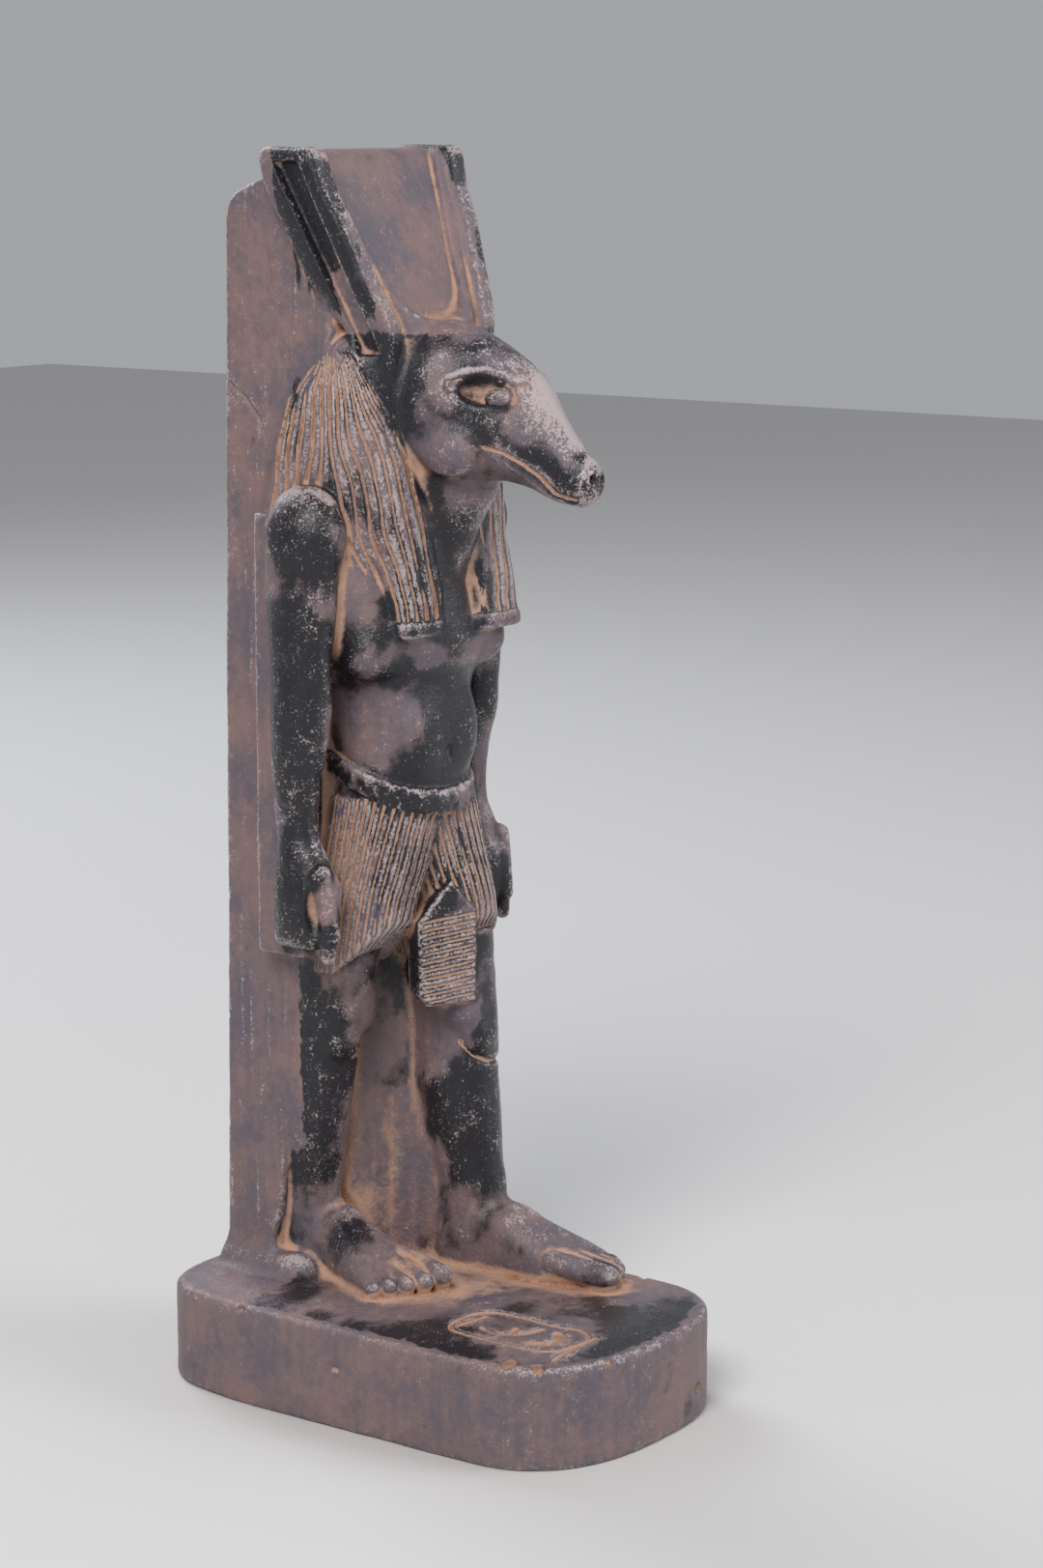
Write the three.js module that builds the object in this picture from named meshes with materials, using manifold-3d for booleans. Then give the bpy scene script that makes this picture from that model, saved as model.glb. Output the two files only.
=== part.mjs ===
// A standing animal-headed figure, its back slab and its plinth, carved as one block of dark stone.
// Millimetres, +Z up. The figure faces -Y and its own right side is towards -X.
import * as THREE from 'three';
import { mergeVertices } from 'three/addons/utils/BufferGeometryUtils.js';
import Module from 'manifold-3d';

const wasm = await Module();
wasm.setup();

// Plinth: plan outline, height and the soft crown of its top
const PLINTH_X = -3.65;
const PLINTH_HALF_WIDTH = 45.7;
const PLINTH_FRONT_Y = -75;
const PLINTH_BACK_Y = 75;
const PLINTH_FRONT_ROUND = 36;
const PLINTH_BACK_ROUND = 78;
const PLINTH_FRONT_POWER = 2.6;
const PLINTH_BACK_POWER = 5;
const PLINTH_HEIGHT = 28.6;
const PLINTH_CROWN = 30;
const PLINTH_EDGE = 1.6;

// Back slab, seen from the side as (y, z)
const FIGURE_X = 5.35;
const SLAB_HALF_WIDTH = 26;
const SLAB_EDGE = 1;
const SLAB_SIDE = [
  [49, 20], [66.6, 20], [66.6, 36], [62.5, 334], [60.5, 337], [28, 349.5], [24, 300], [38, 272], [41, 240],
  [41, 112], [45, 90], [44.4, 62], [47, 46], [50, 36],
];
const SLAB_FOOT = [[0, 49.5, 28, 37, 25, 4], [0, 52, 31, 31, 20.5, 5], [0, 53, 35, 27.5, 16, 6]];

// Each station below is one cross-section: centre x, centre y, z, half width, half depth, squareness,
// and last how much it rises towards the back for each millimetre of depth
const TORSO = [
  [0, 25, 160, 21, 18, 2.2, 0], [0, 24.5, 172, 21.5, 19.5, 2.2, 0], [0, 24, 184, 21, 20, 2.2, 0],
  [0, 24, 196, 22, 20.5, 2.2, 0], [0.5, 24.4, 202, 24, 21.4, 2.2, 0], [1.5, 25, 207, 27.5, 23.8, 2, 0],
  [1.5, 25.5, 213, 31, 26.8, 2.1, 0], [1, 27, 221, 32.5, 26, 2.2, 0], [0, 29, 232, 34, 23, 2.4, 0],
  [0, 31, 247, 33, 16, 2.3, 0], [0, 32, 256, 25, 9, 2, 0],
];
const ARM = [
  [-37, 27, 131, 4.8, 8, 3, 0], [-37, 26, 134, 6.4, 9.6, 2.8, 0], [-37, 25.6, 146, 6.8, 9.8, 2.6, 0],
  [-37, 27.2, 155, 5.8, 7.6, 2.4, 0], [-37, 29, 163, 5.1, 5.9, 2.1, 0], [-37, 29.4, 175, 5.7, 6.5, 2.1, 0],
  [-37, 27.8, 192, 7, 8.6, 2.1, 0], [-36.6, 27.3, 214, 7.4, 9.5, 2.1, 0],
  [-35.4, 27.8, 234, 8.6, 11.4, 2, 0],
  [-34.5, 27.6, 247, 8.9, 11.4, 2, 0], [-33.5, 27.5, 254, 7, 9, 2, 0], [-32.5, 28, 258, 3.5, 4.5, 2, 0],
];
const RIGHT_LEG = [
  [-14, 44, 27, 8, 10, 2.2, 0], [-14, 44.5, 40, 7.8, 10.4, 2.1, 0], [-15, 43.5, 50, 7.2, 8.8, 2, 0],
  [-15.5, 42.5, 62, 8.2, 9.4, 2, 0], [-16, 41.5, 78, 9.8, 11, 2, 0], [-16, 40.5, 88, 10, 11.6, 2, 0],
  [-16, 38.5, 99, 10, 11.8, 2.1, 0], [-15.5, 36.5, 110, 11, 12.8, 2.1, 0], [-15, 34, 130, 12, 14, 2.1, 0],
];
const LEFT_LEG = [
  [16, 9, 27, 8, 11, 2.2, 0], [16, 8, 40, 7.8, 11.8, 2.1, 0], [16.5, 8.4, 50, 7.6, 10.4, 2, 0],
  [16.6, 10.8, 62, 8.6, 11, 2, 0], [16.3, 13.2, 78, 10.2, 12.2, 2, 0], [16.3, 14.2, 88, 10.4, 12.4, 2, 0],
  [16, 14, 99, 10.2, 12.2, 2.1, 0], [15, 15, 110, 11, 12.8, 2.1, 0], [14, 16, 130, 11.4, 13.4, 2.1, 0],
];
const RIGHT_KILT = [
  [-13.5, 30.5, 120.5, 13.2, 17, 2.3, -1], [-12, 29, 139, 13.6, 18.2, 2.3, -0.3],
  [-9.5, 27, 153, 14.6, 19.2, 2.3, 0], [-5, 25, 170, 17, 19.8, 2.3, 0.3],
];
const LEFT_KILT = [
  [14, 16, 121, 12.2, 16, 2.1, -1], [12.5, 18.2, 138, 12.8, 17.4, 2.2, -0.3],
  [9.5, 21.5, 153, 14.2, 18.6, 2.3, 0], [5, 24.5, 170, 17, 19.6, 2.3, 0.3],
];
const WIG = [
  [0, 31.5, 230, 29, 25, 3, 0], [0, 31, 244, 31, 26.5, 3, 0], [0, 29, 262, 31.5, 25, 2.8, 0],
  [0, 26, 279, 30.8, 23, 2.6, 0], [0, 22.5, 290, 28.4, 19.6, 2.4, 0], [0, 19, 299, 24.5, 15.5, 2.2, 0],
  [0, 16, 304, 15, 9, 2, 0],
];
const LAPPET = [
  [-13.5, 5, 217.5, 8.2, 5, 3.5, 0], [-14, 6.8, 230, 8.8, 6.8, 3.2, 0], [-15.5, 9.5, 243, 9.6, 8.4, 2.8, 0],
  [-17.5, 12, 256, 9.8, 9.2, 2.4, 0], [-19, 15, 269, 8.4, 9.2, 2.2, 0], [-19.5, 17, 282, 6, 7.4, 2, 0],
];
const LEFT_LAPPET = [
  [15.8, 1.4, 217.5, 9.2, 5, 3.5, 0], [15.8, 4.4, 230, 9.2, 6.8, 3.2, 0], [16, 8.6, 243, 9.4, 8.4, 2.8, 0],
  [17, 10.8, 256, 9.4, 9.2, 2.4, 0], [19, 15, 269, 8.4, 9.2, 2.2, 0], [19.5, 17, 282, 6, 7.4, 2, 0],
];
const LEFT_ARM_FORWARD = -2.4;
const THROAT = [
  [0, 12, 212, 9, 10, 2, 0], [0, 11, 228, 9, 10, 2, 0], [0, 8, 243, 9.5, 12, 2, 0],
  [0, 5, 256, 11.5, 16, 2, 0], [0, 4, 266, 13, 18, 2, 0],
];
// Head stations run from the skull to the nose: y, top z, bottom z, half width, squareness
const HEAD = [
  [24, 299, 262, 18, 2], [12, 303.6, 259, 20.5, 2.2], [2, 303, 258.5, 20, 2.2], [-8, 299.8, 259, 16.8, 2.1],
  [-16, 296, 260, 13.4, 2.1], [-23, 292, 259, 10.4, 2.1], [-28, 288, 257.4, 8.2, 2.1],
  [-33, 280, 255.6, 6.8, 2.1], [-39, 272, 254.6, 5.9, 2.1], [-43, 267.8, 254.8, 5.3, 2.2],
  [-45.6, 265, 257.4, 3.4, 2],
];
// Foot stations run from the heel to the toes: x, y, top z, half width, slant of the toe line
const FOOT = [
  [-12.5, 56, 36, 4.5, 0], [-13, 52, 42, 7, 0], [-13.5, 42, 50, 8, 0], [-14, 33, 48.5, 8.4, 0],
  [-15, 26, 44, 9.4, 0.1], [-16.6, 17, 40.5, 10.4, 0.2], [-17.6, 9, 37, 11, 0.45], [-17.4, 2, 35, 9.8, 0.5],
  [-15.6, -1.6, 33, 7, 0.5],
];
const LEFT_FOOT_SHIFT = [3.5, -38.6, 0];
const SOLE_Z = 27;

const EAR = [
  [-19.5, 12, 287, 2.8, 4.6, 5, 0], [-20.6, 13, 298, 3.6, 7.4, 5, 0], [-24, 20.6, 312, 4, 10.4, 6, 0],
  [-27, 27.2, 328, 4.1, 10.6, 6, 0], [-29.6, 33, 342, 4.2, 9.8, 6, 0], [-30.4, 34.3, 349, 4.1, 8.8, 5, 0],
  [-30.4, 34.3, 350, 3.2, 7.8, 5, 0],
];
const TROUGH = [[-24, 12.6, 296, 2.6, 3, 8, 0], [-34.4, 33.6, 345.5, 3, 4.4, 8, 0]];

// The field between the ears leans back with them: half widths at its top and base, and how deep it lies
const PANEL_TOP = [0, 28, 349];
const PANEL_BASE = [0, 8, 303];
const PANEL_HALF = [24, 12.5];
const PANEL_RIM = 2.4;
const PANEL_BODY = [
  [0, 21, 292, 15, 16, 5, 0], [0, 24, 303, 17.5, 18.5, 6, 0], [0, 33, 326, 24, 16, 8, 0],
  [0, 38, 348.5, 28, 12.4, 8, 0],
];

const BROW = { x: 7.6, y: -17, z: 290.4, size: [2.8, 9, 1.8] };
const EYE = { x: 11, y: -18, z: 283.6, size: [1.6, 3.2, 1.6] };
const MOUTH = { x: 8.9, y: -26.3, z: 264.0, depth: 3.2, length: 30, gap: 0.9, slope: 0.47, turn: 0.27 };
const BELT = { x: 0, y: 24.5, halfWidth: 22.8, halfDepth: 21.6, low: 174.5, high: 181.5, dip: 0.42 };
const TAB = {
  x: -0.5, y: 4.8, width: 17.5, turn: -0.5, back: 10, low: 109.5, high: 138, ribs: 9, ribDepth: 0.9,
};
// Stone left standing between the legs, drawn from above as (x, y), with its near side hollowed
const WEB = [[-10, 52], [-8, 41], [-3, 34], [3, 29], [8, 22], [11, 13], [18, 12], [22, 52]];
const WEB_LOW = 24;
const WEB_HIGH = 124;
const KNEES = [[-16.5, 29.4, 99], [14.5, 4.6, 98]];
const KNEE_SIZE = [6, 3.4, 7];
const ROD = { x: -37, y: 17.5, z: 132, radius: 2.3, length: 12 };
const NAVEL = { y: 3.6, z: 182.6, radius: 1.1, height: 5.4 };
const CARTOUCHE = {
  x: -23, y: -38, width: 15, length: 39, groove: 1.5, depth: 1.2, tieY: -60, tieLength: 20,
};
const STROKES = [[-2, 10, 7, 0.5], [2.5, 3, 6, -0.7], [-1.5, -4, 7, 0.9], [2, -11, 6, -0.4]];

const SMOOTH_SIDES = 20;
const WIG_STRANDS = 38;
const STRAND_DEPTH = 0.9;
const LAPPET_STRANDS = 12;
const KILT_PLEATS = 26;
const PLEAT_DEPTH = 0.8;
const HEM_FLAT = 4;
const TOE_COUNT = 5;
const TOE_GAP = 1.2;
const TOE_PITCH = 4;
const TOE_LENGTH = 20;
const TOE_SPLAY = 0.08;

// Turns an outline drawn as (y, z) with its depth along x into place
const SIDE_VIEW = new THREE.Matrix4().set(0, 0, 1, 0, 1, 0, 0, 0, 0, 1, 0, 0, 0, 0, 0, 1);

/** Distance factor of a superellipse whose corners get squarer as the power grows. */
function signedPower(value, power) {
  return Math.sign(value) * Math.abs(value) ** (2 / power);
}

/** One closed ring of points; a ridge depth above zero folds it into strands or pleats. */
function ring([x, y, z, halfWidth, halfDepth, power, rise], sides, ridge = 0) {
  const points = [];
  for (let side = 0; side < sides; side += 1) {
    const angle = (side / sides) * Math.PI * 2;
    const inward = side % 2 === 0 ? 0 : ridge;
    const dx = (halfWidth - inward) * signedPower(Math.cos(angle), power);
    const dy = (halfDepth - inward) * signedPower(Math.sin(angle), power);
    // A positive rise tilts the ring; a negative one lifts only its front, like a hem drawn up
    const lift = rise < 0 ? Math.min(0, dy + HEM_FLAT) * rise : dy * rise;
    points.push(new THREE.Vector3(x + dx, y + dy, z + lift));
  }
  return points;
}

/** A closed skin over a stack of rings, with a fan of triangles over each end. */
function loft(rings) {
  const sides = rings[0].length;
  const index = [];
  for (let row = 0; row < rings.length - 1; row += 1) {
    for (let side = 0; side < sides; side += 1) {
      const a = row * sides + side;
      const b = row * sides + ((side + 1) % sides);
      index.push(a, b, b + sides, a, b + sides, a + sides);
    }
  }
  const points = rings.flat();
  const first = points.length;
  const last = first + 1;
  const middle = (list) => list.reduce((sum, p) => sum.add(p), new THREE.Vector3()).divideScalar(sides);
  points.push(middle(rings[0]), middle(rings[rings.length - 1]));
  const top = (rings.length - 1) * sides;
  for (let side = 0; side < sides; side += 1) {
    const next = (side + 1) % sides;
    index.push(first, next, side);
    index.push(last, top + side, top + next);
  }
  const geometry = new THREE.BufferGeometry();
  const flat = points.flatMap((p) => p.toArray());
  geometry.setAttribute('position', new THREE.Float32BufferAttribute(flat, 3));
  geometry.setIndex(index);
  return geometry;
}

/** A solid for joining and cutting, turned right side out when its faces point inwards. */
function solid(geometry) {
  const plain = geometry.clone();
  plain.deleteAttribute('normal');
  plain.deleteAttribute('uv');
  const merged = mergeVertices(plain, 1e-4);
  const positions = merged.attributes.position.array;
  const triangles = Uint32Array.from(merged.index.array);
  let volume = 0;
  const corner = (i) => new THREE.Vector3().fromArray(positions, triangles[i] * 3);
  for (let i = 0; i < triangles.length; i += 3) volume += corner(i).dot(corner(i + 1).cross(corner(i + 2)));
  if (volume < 0) {
    triangles.reverse();
  }
  return new wasm.Manifold(new wasm.Mesh({ numProp: 3, vertProperties: positions, triVerts: triangles }));
}

/** The mirror image of a solid in the figure's middle plane. */
function mirrored(geometry) {
  return solid(geometry.clone().scale(-1, 1, 1));
}

/** A body part lofted through its stations from below upwards. */
function limb(stations, sides = SMOOTH_SIDES, ridge = 0) {
  return loft(stations.map((station) => ring(station, sides, ridge)));
}

/** An ellipsoid for rounded muscles, knees and eyes. */
function lump([x, y, z], [rx, ry, rz]) {
  return new THREE.SphereGeometry(1, 10, 6).scale(rx, ry, rz).translate(x, y, z);
}

/** Plan outline of the plinth, drawn in by an inset, at one height. */
function plinthRing(inset, z) {
  const points = [];
  const halfTurn = 22;
  const straightFront = PLINTH_FRONT_Y + PLINTH_FRONT_ROUND;
  const straightBack = PLINTH_BACK_Y - PLINTH_BACK_ROUND;
  for (let step = 0; step < halfTurn * 2; step += 1) {
    const angle = (step / halfTurn) * Math.PI;
    const front = step >= halfTurn;
    const power = front ? PLINTH_FRONT_POWER : PLINTH_BACK_POWER;
    const round = (front ? PLINTH_FRONT_ROUND : PLINTH_BACK_ROUND) - inset;
    const straight = front ? straightFront : straightBack;
    const dx = (PLINTH_HALF_WIDTH - inset) * signedPower(Math.cos(angle), power);
    const y = straight + round * signedPower(Math.sin(angle), power);
    points.push(new THREE.Vector3(PLINTH_X + dx, y, z));
  }
  return points;
}

function makePlinth() {
  const crownInset = 13;
  const rings = [
    plinthRing(PLINTH_EDGE / 2, 0), plinthRing(0, PLINTH_EDGE), plinthRing(0, PLINTH_HEIGHT - PLINTH_EDGE),
    plinthRing(PLINTH_EDGE, PLINTH_HEIGHT), plinthRing(crownInset, PLINTH_CROWN),
  ];
  return solid(loft(rings));
}

/** The cartouche on the plinth's top: a rounded frame with short strokes inside it. */
function cartoucheCuts() {
  const { x, y, width, length, groove, depth, tieY, tieLength } = CARTOUCHE;
  const top = PLINTH_CROWN + 1;
  const outline = (inset) => {
    const shape = new THREE.Shape();
    const w = width / 2 - inset;
    const l = length / 2 - inset;
    shape.moveTo(-w, -l + w);
    shape.absarc(0, -l + w, w, Math.PI, Math.PI * 2);
    shape.absarc(0, l - w, w, 0, Math.PI);
    shape.closePath();
    return shape;
  };
  const frame = outline(0);
  frame.holes.push(outline(groove));
  const settings = { depth: 3, bevelEnabled: false, curveSegments: 5 };
  const cuts = [new THREE.ExtrudeGeometry(frame, settings).translate(x, y, top - depth - 1)];
  cuts.push(new THREE.BoxGeometry(tieLength, groove, 3).translate(x, tieY, top - depth + 0.5));
  for (const [dx, dy, size, turn] of STROKES) {
    const stroke = new THREE.BoxGeometry(size, groove, 3).rotateZ(turn);
    cuts.push(stroke.translate(x + dx, y + dy, top - depth + 0.5));
  }
  return cuts.map((geometry) => solid(geometry));
}

function makeSlab() {
  const outline = new THREE.Shape(SLAB_SIDE.map(([y, z]) => new THREE.Vector2(y, z)));
  const settings = {
    depth: (SLAB_HALF_WIDTH - SLAB_EDGE) * 2, bevelThickness: SLAB_EDGE, bevelSize: SLAB_EDGE,
    bevelOffset: -SLAB_EDGE, bevelSegments: 1,
  };
  const geometry = new THREE.ExtrudeGeometry(outline, settings);
  geometry.translate(0, 0, -SLAB_HALF_WIDTH + SLAB_EDGE);
  geometry.applyMatrix4(SIDE_VIEW);
  return solid(geometry);
}

/** The hollow field between the ears, wide at the top and rounded below. */
function panelCut() {
  const [halfTop, halfBase] = PANEL_HALF;
  const rise = PANEL_TOP[2] - PANEL_BASE[2];
  const run = PANEL_TOP[1] - PANEL_BASE[1];
  const height = Math.hypot(run, rise) + 6;
  const shape = new THREE.Shape();
  shape.moveTo(-halfTop, height);
  shape.lineTo(-halfBase, halfBase * 0.8);
  shape.quadraticCurveTo(-halfBase * 0.8, 0, 0, 0);
  shape.quadraticCurveTo(halfBase * 0.8, 0, halfBase, halfBase * 0.8);
  shape.lineTo(halfTop, height);
  shape.closePath();
  const geometry = new THREE.ExtrudeGeometry(shape, { depth: 20, bevelEnabled: false, curveSegments: 5 });
  geometry.rotateX(Math.PI / 2 - Math.atan2(run, rise));
  geometry.translate(PANEL_BASE[0], PANEL_BASE[1] + PANEL_RIM, PANEL_BASE[2]);
  return solid(geometry);
}

function makeEars() {
  const ear = limb(EAR, 16);
  const trough = limb(TROUGH, 8);
  return [solid(ear).subtract(solid(trough)), mirrored(ear).subtract(mirrored(trough))];
}

function headRing([y, top, bottom, halfWidth, power]) {
  const flat = ring([0, 0, 0, halfWidth, (top - bottom) / 2, power, 0], SMOOTH_SIDES);
  return flat.map((point) => new THREE.Vector3(point.x, y, (top + bottom) / 2 + point.y));
}

function makeHead() {
  const skull = solid(loft(HEAD.map(headRing)));
  const raised = [];
  const cut = [];
  for (const side of [-1, 1]) {
    raised.push(solid(lump([side * BROW.x, BROW.y, BROW.z], BROW.size)));
    raised.push(solid(lump([side * EYE.x, EYE.y, EYE.z], EYE.size)));
    const slit = new THREE.BoxGeometry(MOUTH.depth, MOUTH.length, MOUTH.gap).rotateX(MOUTH.slope);
    cut.push(solid(slit.rotateZ(-side * MOUTH.turn).translate(side * MOUTH.x, MOUTH.y, MOUTH.z)));
  }
  return skull.add(wasm.Manifold.union(raised)).subtract(wasm.Manifold.union(cut));
}

function makeBelt() {
  const { x, y, halfWidth, halfDepth, low, high, dip } = BELT;
  return solid(limb([low, high].map((z) => [x, y, z, halfWidth, halfDepth, 2.2, dip])));
}

/** The stiff apron tab, with its pressed ribs running across. */
function makeTab() {
  const { x, y, width, turn, back, low, high, ribs, ribDepth } = TAB;
  const shape = new THREE.Shape();
  const pitch = (high - low) / ribs;
  shape.moveTo(back, low);
  for (let rib = 0; rib < ribs; rib += 1) {
    shape.lineTo(0, low + rib * pitch);
    shape.lineTo(ribDepth, low + (rib + 0.5) * pitch);
  }
  shape.lineTo(0, high);
  shape.lineTo(back, high);
  shape.closePath();
  const geometry = new THREE.ExtrudeGeometry(shape, { depth: width, bevelEnabled: false });
  geometry.translate(0, 0, -width / 2);
  geometry.applyMatrix4(SIDE_VIEW);
  return solid(geometry.rotateZ(turn).translate(x, y, 0));
}

/** A foot lofted from heel to toes; its toe line slants from the little toe to the big toe. */
function footGeometry() {
  return loft(FOOT.map(([x, y, top, halfWidth, slant]) => {
    const half = (top - SOLE_Z) / 2;
    const flat = ring([0, 0, 0, halfWidth, half, 2.8, 0], 16);
    return flat.map((p) => new THREE.Vector3(x + p.x, y - p.x * slant, SOLE_Z + half + p.y));
  }));
}

/** Narrow cuts that part the front of the foot into toes. */
function toeCuts() {
  const [x, y, , halfWidth, slant] = FOOT[6];
  const cuts = [];
  for (let gap = 1; gap < TOE_COUNT; gap += 1) {
    const across = -halfWidth + gap * TOE_PITCH;
    const cut = new THREE.BoxGeometry(TOE_GAP, TOE_LENGTH, 12).translate(0, -TOE_LENGTH / 2, 0);
    cuts.push(cut.rotateZ(TOE_SPLAY).translate(x + across, y + 9 - across * slant, PLINTH_CROWN + 6.5));
  }
  return cuts;
}

function makeFeet() {
  const foot = footGeometry();
  const cuts = toeCuts();
  const right = solid(foot).subtract(wasm.Manifold.union(cuts.map((cut) => solid(cut))));
  const left = mirrored(foot).subtract(wasm.Manifold.union(cuts.map((cut) => mirrored(cut))));
  return [right, left.translate(LEFT_FOOT_SHIFT)];
}

/** Kneecaps, which swell a little from the smooth legs. */
function makeKnees() {
  return KNEES.map((middle) => solid(lump(middle, KNEE_SIZE)));
}

/** The stone between the legs, which ties both to the slab. */
function makeWeb() {
  const outline = new THREE.Shape(WEB.map(([x, y]) => new THREE.Vector2(x, y)));
  const geometry = new THREE.ExtrudeGeometry(outline, { depth: WEB_HIGH - WEB_LOW, bevelEnabled: false });
  return solid(geometry.translate(0, 0, WEB_LOW));
}

/** Closed hand: the end of the rod that the fist grips shows below it. */
function rodEnds() {
  const rod = new THREE.CylinderGeometry(ROD.radius, ROD.radius, ROD.length, 10);
  rod.rotateX(Math.PI / 2).translate(ROD.x, ROD.y, ROD.z);
  return [solid(rod), mirrored(rod)];
}

function makeStatue() {
  const arm = limb(ARM);
  const lappet = limb(LAPPET, LAPPET_STRANDS * 2, STRAND_DEPTH);
  const figure = wasm.Manifold.union([
    makeSlab(), solid(limb(SLAB_FOOT.map((station) => [...station, 0]))), solid(limb(PANEL_BODY)),
    solid(limb(TORSO)), solid(arm), mirrored(arm).translate([0, LEFT_ARM_FORWARD, 0]), ...rodEnds(),
    solid(limb(RIGHT_LEG)), solid(limb(LEFT_LEG)),
    solid(limb(RIGHT_KILT, KILT_PLEATS * 2, PLEAT_DEPTH)),
    solid(limb(LEFT_KILT, KILT_PLEATS * 2, PLEAT_DEPTH)),
    solid(limb(WIG, WIG_STRANDS * 2, STRAND_DEPTH)), solid(limb(THROAT)),
    solid(lappet), solid(limb(LEFT_LAPPET, LAPPET_STRANDS * 2, STRAND_DEPTH)),
    makeBelt(), makeTab(), makeWeb(), ...makeEars(), ...makeFeet(), makeHead(), ...makeKnees(),
  ]);
  const navel = solid(lump([0, NAVEL.y, NAVEL.z], [NAVEL.radius, 1.6, NAVEL.height / 2]));
  const carved = figure.subtract(panelCut()).subtract(navel).translate([FIGURE_X, 0, 0]);
  const plinth = makePlinth().subtract(wasm.Manifold.union(cartoucheCuts()));
  return plinth.add(carved);
}

/** The finished solid as a mesh geometry. */
function geometryOf(manifold) {
  const mesh = manifold.getMesh();
  const geometry = new THREE.BufferGeometry();
  geometry.setAttribute('position', new THREE.BufferAttribute(mesh.vertProperties, 3));
  geometry.setIndex(new THREE.BufferAttribute(mesh.triVerts, 1));
  geometry.computeVertexNormals();
  return geometry;
}

const stone = new THREE.MeshStandardMaterial({ color: 0x3b3840, roughness: 0.72, metalness: 0 });
const statue = new THREE.Mesh(geometryOf(makeStatue()), stone);
statue.name = 'seth_statue';

const group = new THREE.Group();
group.add(statue);
export default group;
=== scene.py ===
"""Visual model of a standing animal-headed figure, its back slab and its plinth, one block of stone.

The carving is worked out as a distance field in millimetres. Its x runs from the figure's middle plane
towards the figure's left, y runs backwards and z runs up from the floor. The field becomes one mesh,
which carries three layers of wear and painted edge highlight for the stone's finish.
"""
import logging
import math
from dataclasses import dataclass, field
from enum import Enum
from typing import Callable, Sequence

import bpy
import numpy as np
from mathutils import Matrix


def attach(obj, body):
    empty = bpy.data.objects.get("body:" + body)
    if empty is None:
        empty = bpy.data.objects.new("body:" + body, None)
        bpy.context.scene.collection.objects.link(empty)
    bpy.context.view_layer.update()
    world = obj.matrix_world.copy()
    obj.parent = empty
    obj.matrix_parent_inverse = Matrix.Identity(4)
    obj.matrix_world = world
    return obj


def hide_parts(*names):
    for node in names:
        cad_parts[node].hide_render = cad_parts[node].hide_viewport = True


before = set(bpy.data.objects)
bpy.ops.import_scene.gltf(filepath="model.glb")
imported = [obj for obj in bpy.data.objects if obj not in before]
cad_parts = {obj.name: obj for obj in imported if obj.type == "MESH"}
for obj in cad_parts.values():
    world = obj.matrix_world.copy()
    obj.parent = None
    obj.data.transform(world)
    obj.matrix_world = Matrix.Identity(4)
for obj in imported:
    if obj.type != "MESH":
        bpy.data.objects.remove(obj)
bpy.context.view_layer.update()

import openvdb
from mathutils import Matrix, Vector

LOG = logging.getLogger("statue")
MM = 0.001
FIGURE_X = 5.35
IMAGE_WIDTH = 1080
IMAGE_HEIGHT = 1623
FAR = 60.0

Points = np.ndarray
Values = np.ndarray
Station = Sequence[float]


class Side(Enum):
    """The figure's own right and left, as the sign of x."""

    RIGHT = -1
    LEFT = 1


class Work(Enum):
    """How a form meets the block that is there already."""

    JOIN = "join"
    CUT = "cut"


def smooth_join(a: Values, b: Values, reach: float) -> Values:
    """Joins two distance fields with a rounded inner corner.

    Args:
        a: The first field's values.
        b: The second field's values.
        reach: How far the rounding reaches, in mm.

    Returns:
        The joined field.
    """
    overlap = np.maximum(reach - np.abs(a - b), 0.0) / reach
    return np.minimum(a, b) - overlap * overlap * reach * 0.25


def step_between(low: float, high: float, value: Values) -> Values:
    """Rises smoothly from 0 at low to 1 at high."""
    t = np.clip((value - low) / (high - low), 0.0, 1.0)
    return t * t * (3.0 - 2.0 * t)


def rounded_meeting(a: Values, b: Values, radius: float) -> Values:
    """The space that is inside both fields, with its outer edge rounded."""
    a = a + radius
    b = b + radius
    return np.hypot(np.maximum(a, 0), np.maximum(b, 0)) + np.minimum(np.maximum(a, b), 0) - radius


class Grain:
    """Smooth random grain, the same on every run."""

    SIZE = 32

    def __init__(self, seed: int) -> None:
        """Fills one block of random values that repeats in every direction."""
        rng = np.random.default_rng(seed)
        self.table = rng.uniform(-1, 1, (self.SIZE,) * 3).astype(np.float32)

    def at(self, points: Points, pitch: float | Sequence[float]) -> Values:
        """Reads the grain.

        Args:
            points: Places in mm.
            pitch: The distance between grains in mm, or one for each axis.

        Returns:
            Values from -1 to 1.
        """
        q = points / np.asarray(pitch, np.float32)
        base = np.floor(q).astype(np.int64)
        t = (q - base).astype(np.float32)
        t = t * t * (3 - 2 * t)
        i0 = base % self.SIZE
        i1 = (base + 1) % self.SIZE
        total = np.zeros(len(points), np.float32)
        for corner in range(8):
            pick = [(corner >> axis) & 1 for axis in range(3)]
            weight = np.ones(len(points), np.float32)
            place = []
            for axis in range(3):
                weight *= t[:, axis] if pick[axis] else 1 - t[:, axis]
                place.append((i1 if pick[axis] else i0)[:, axis])
            total += weight * self.table[place[0], place[1], place[2]]
        return total


GRAIN = Grain(11)


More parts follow.
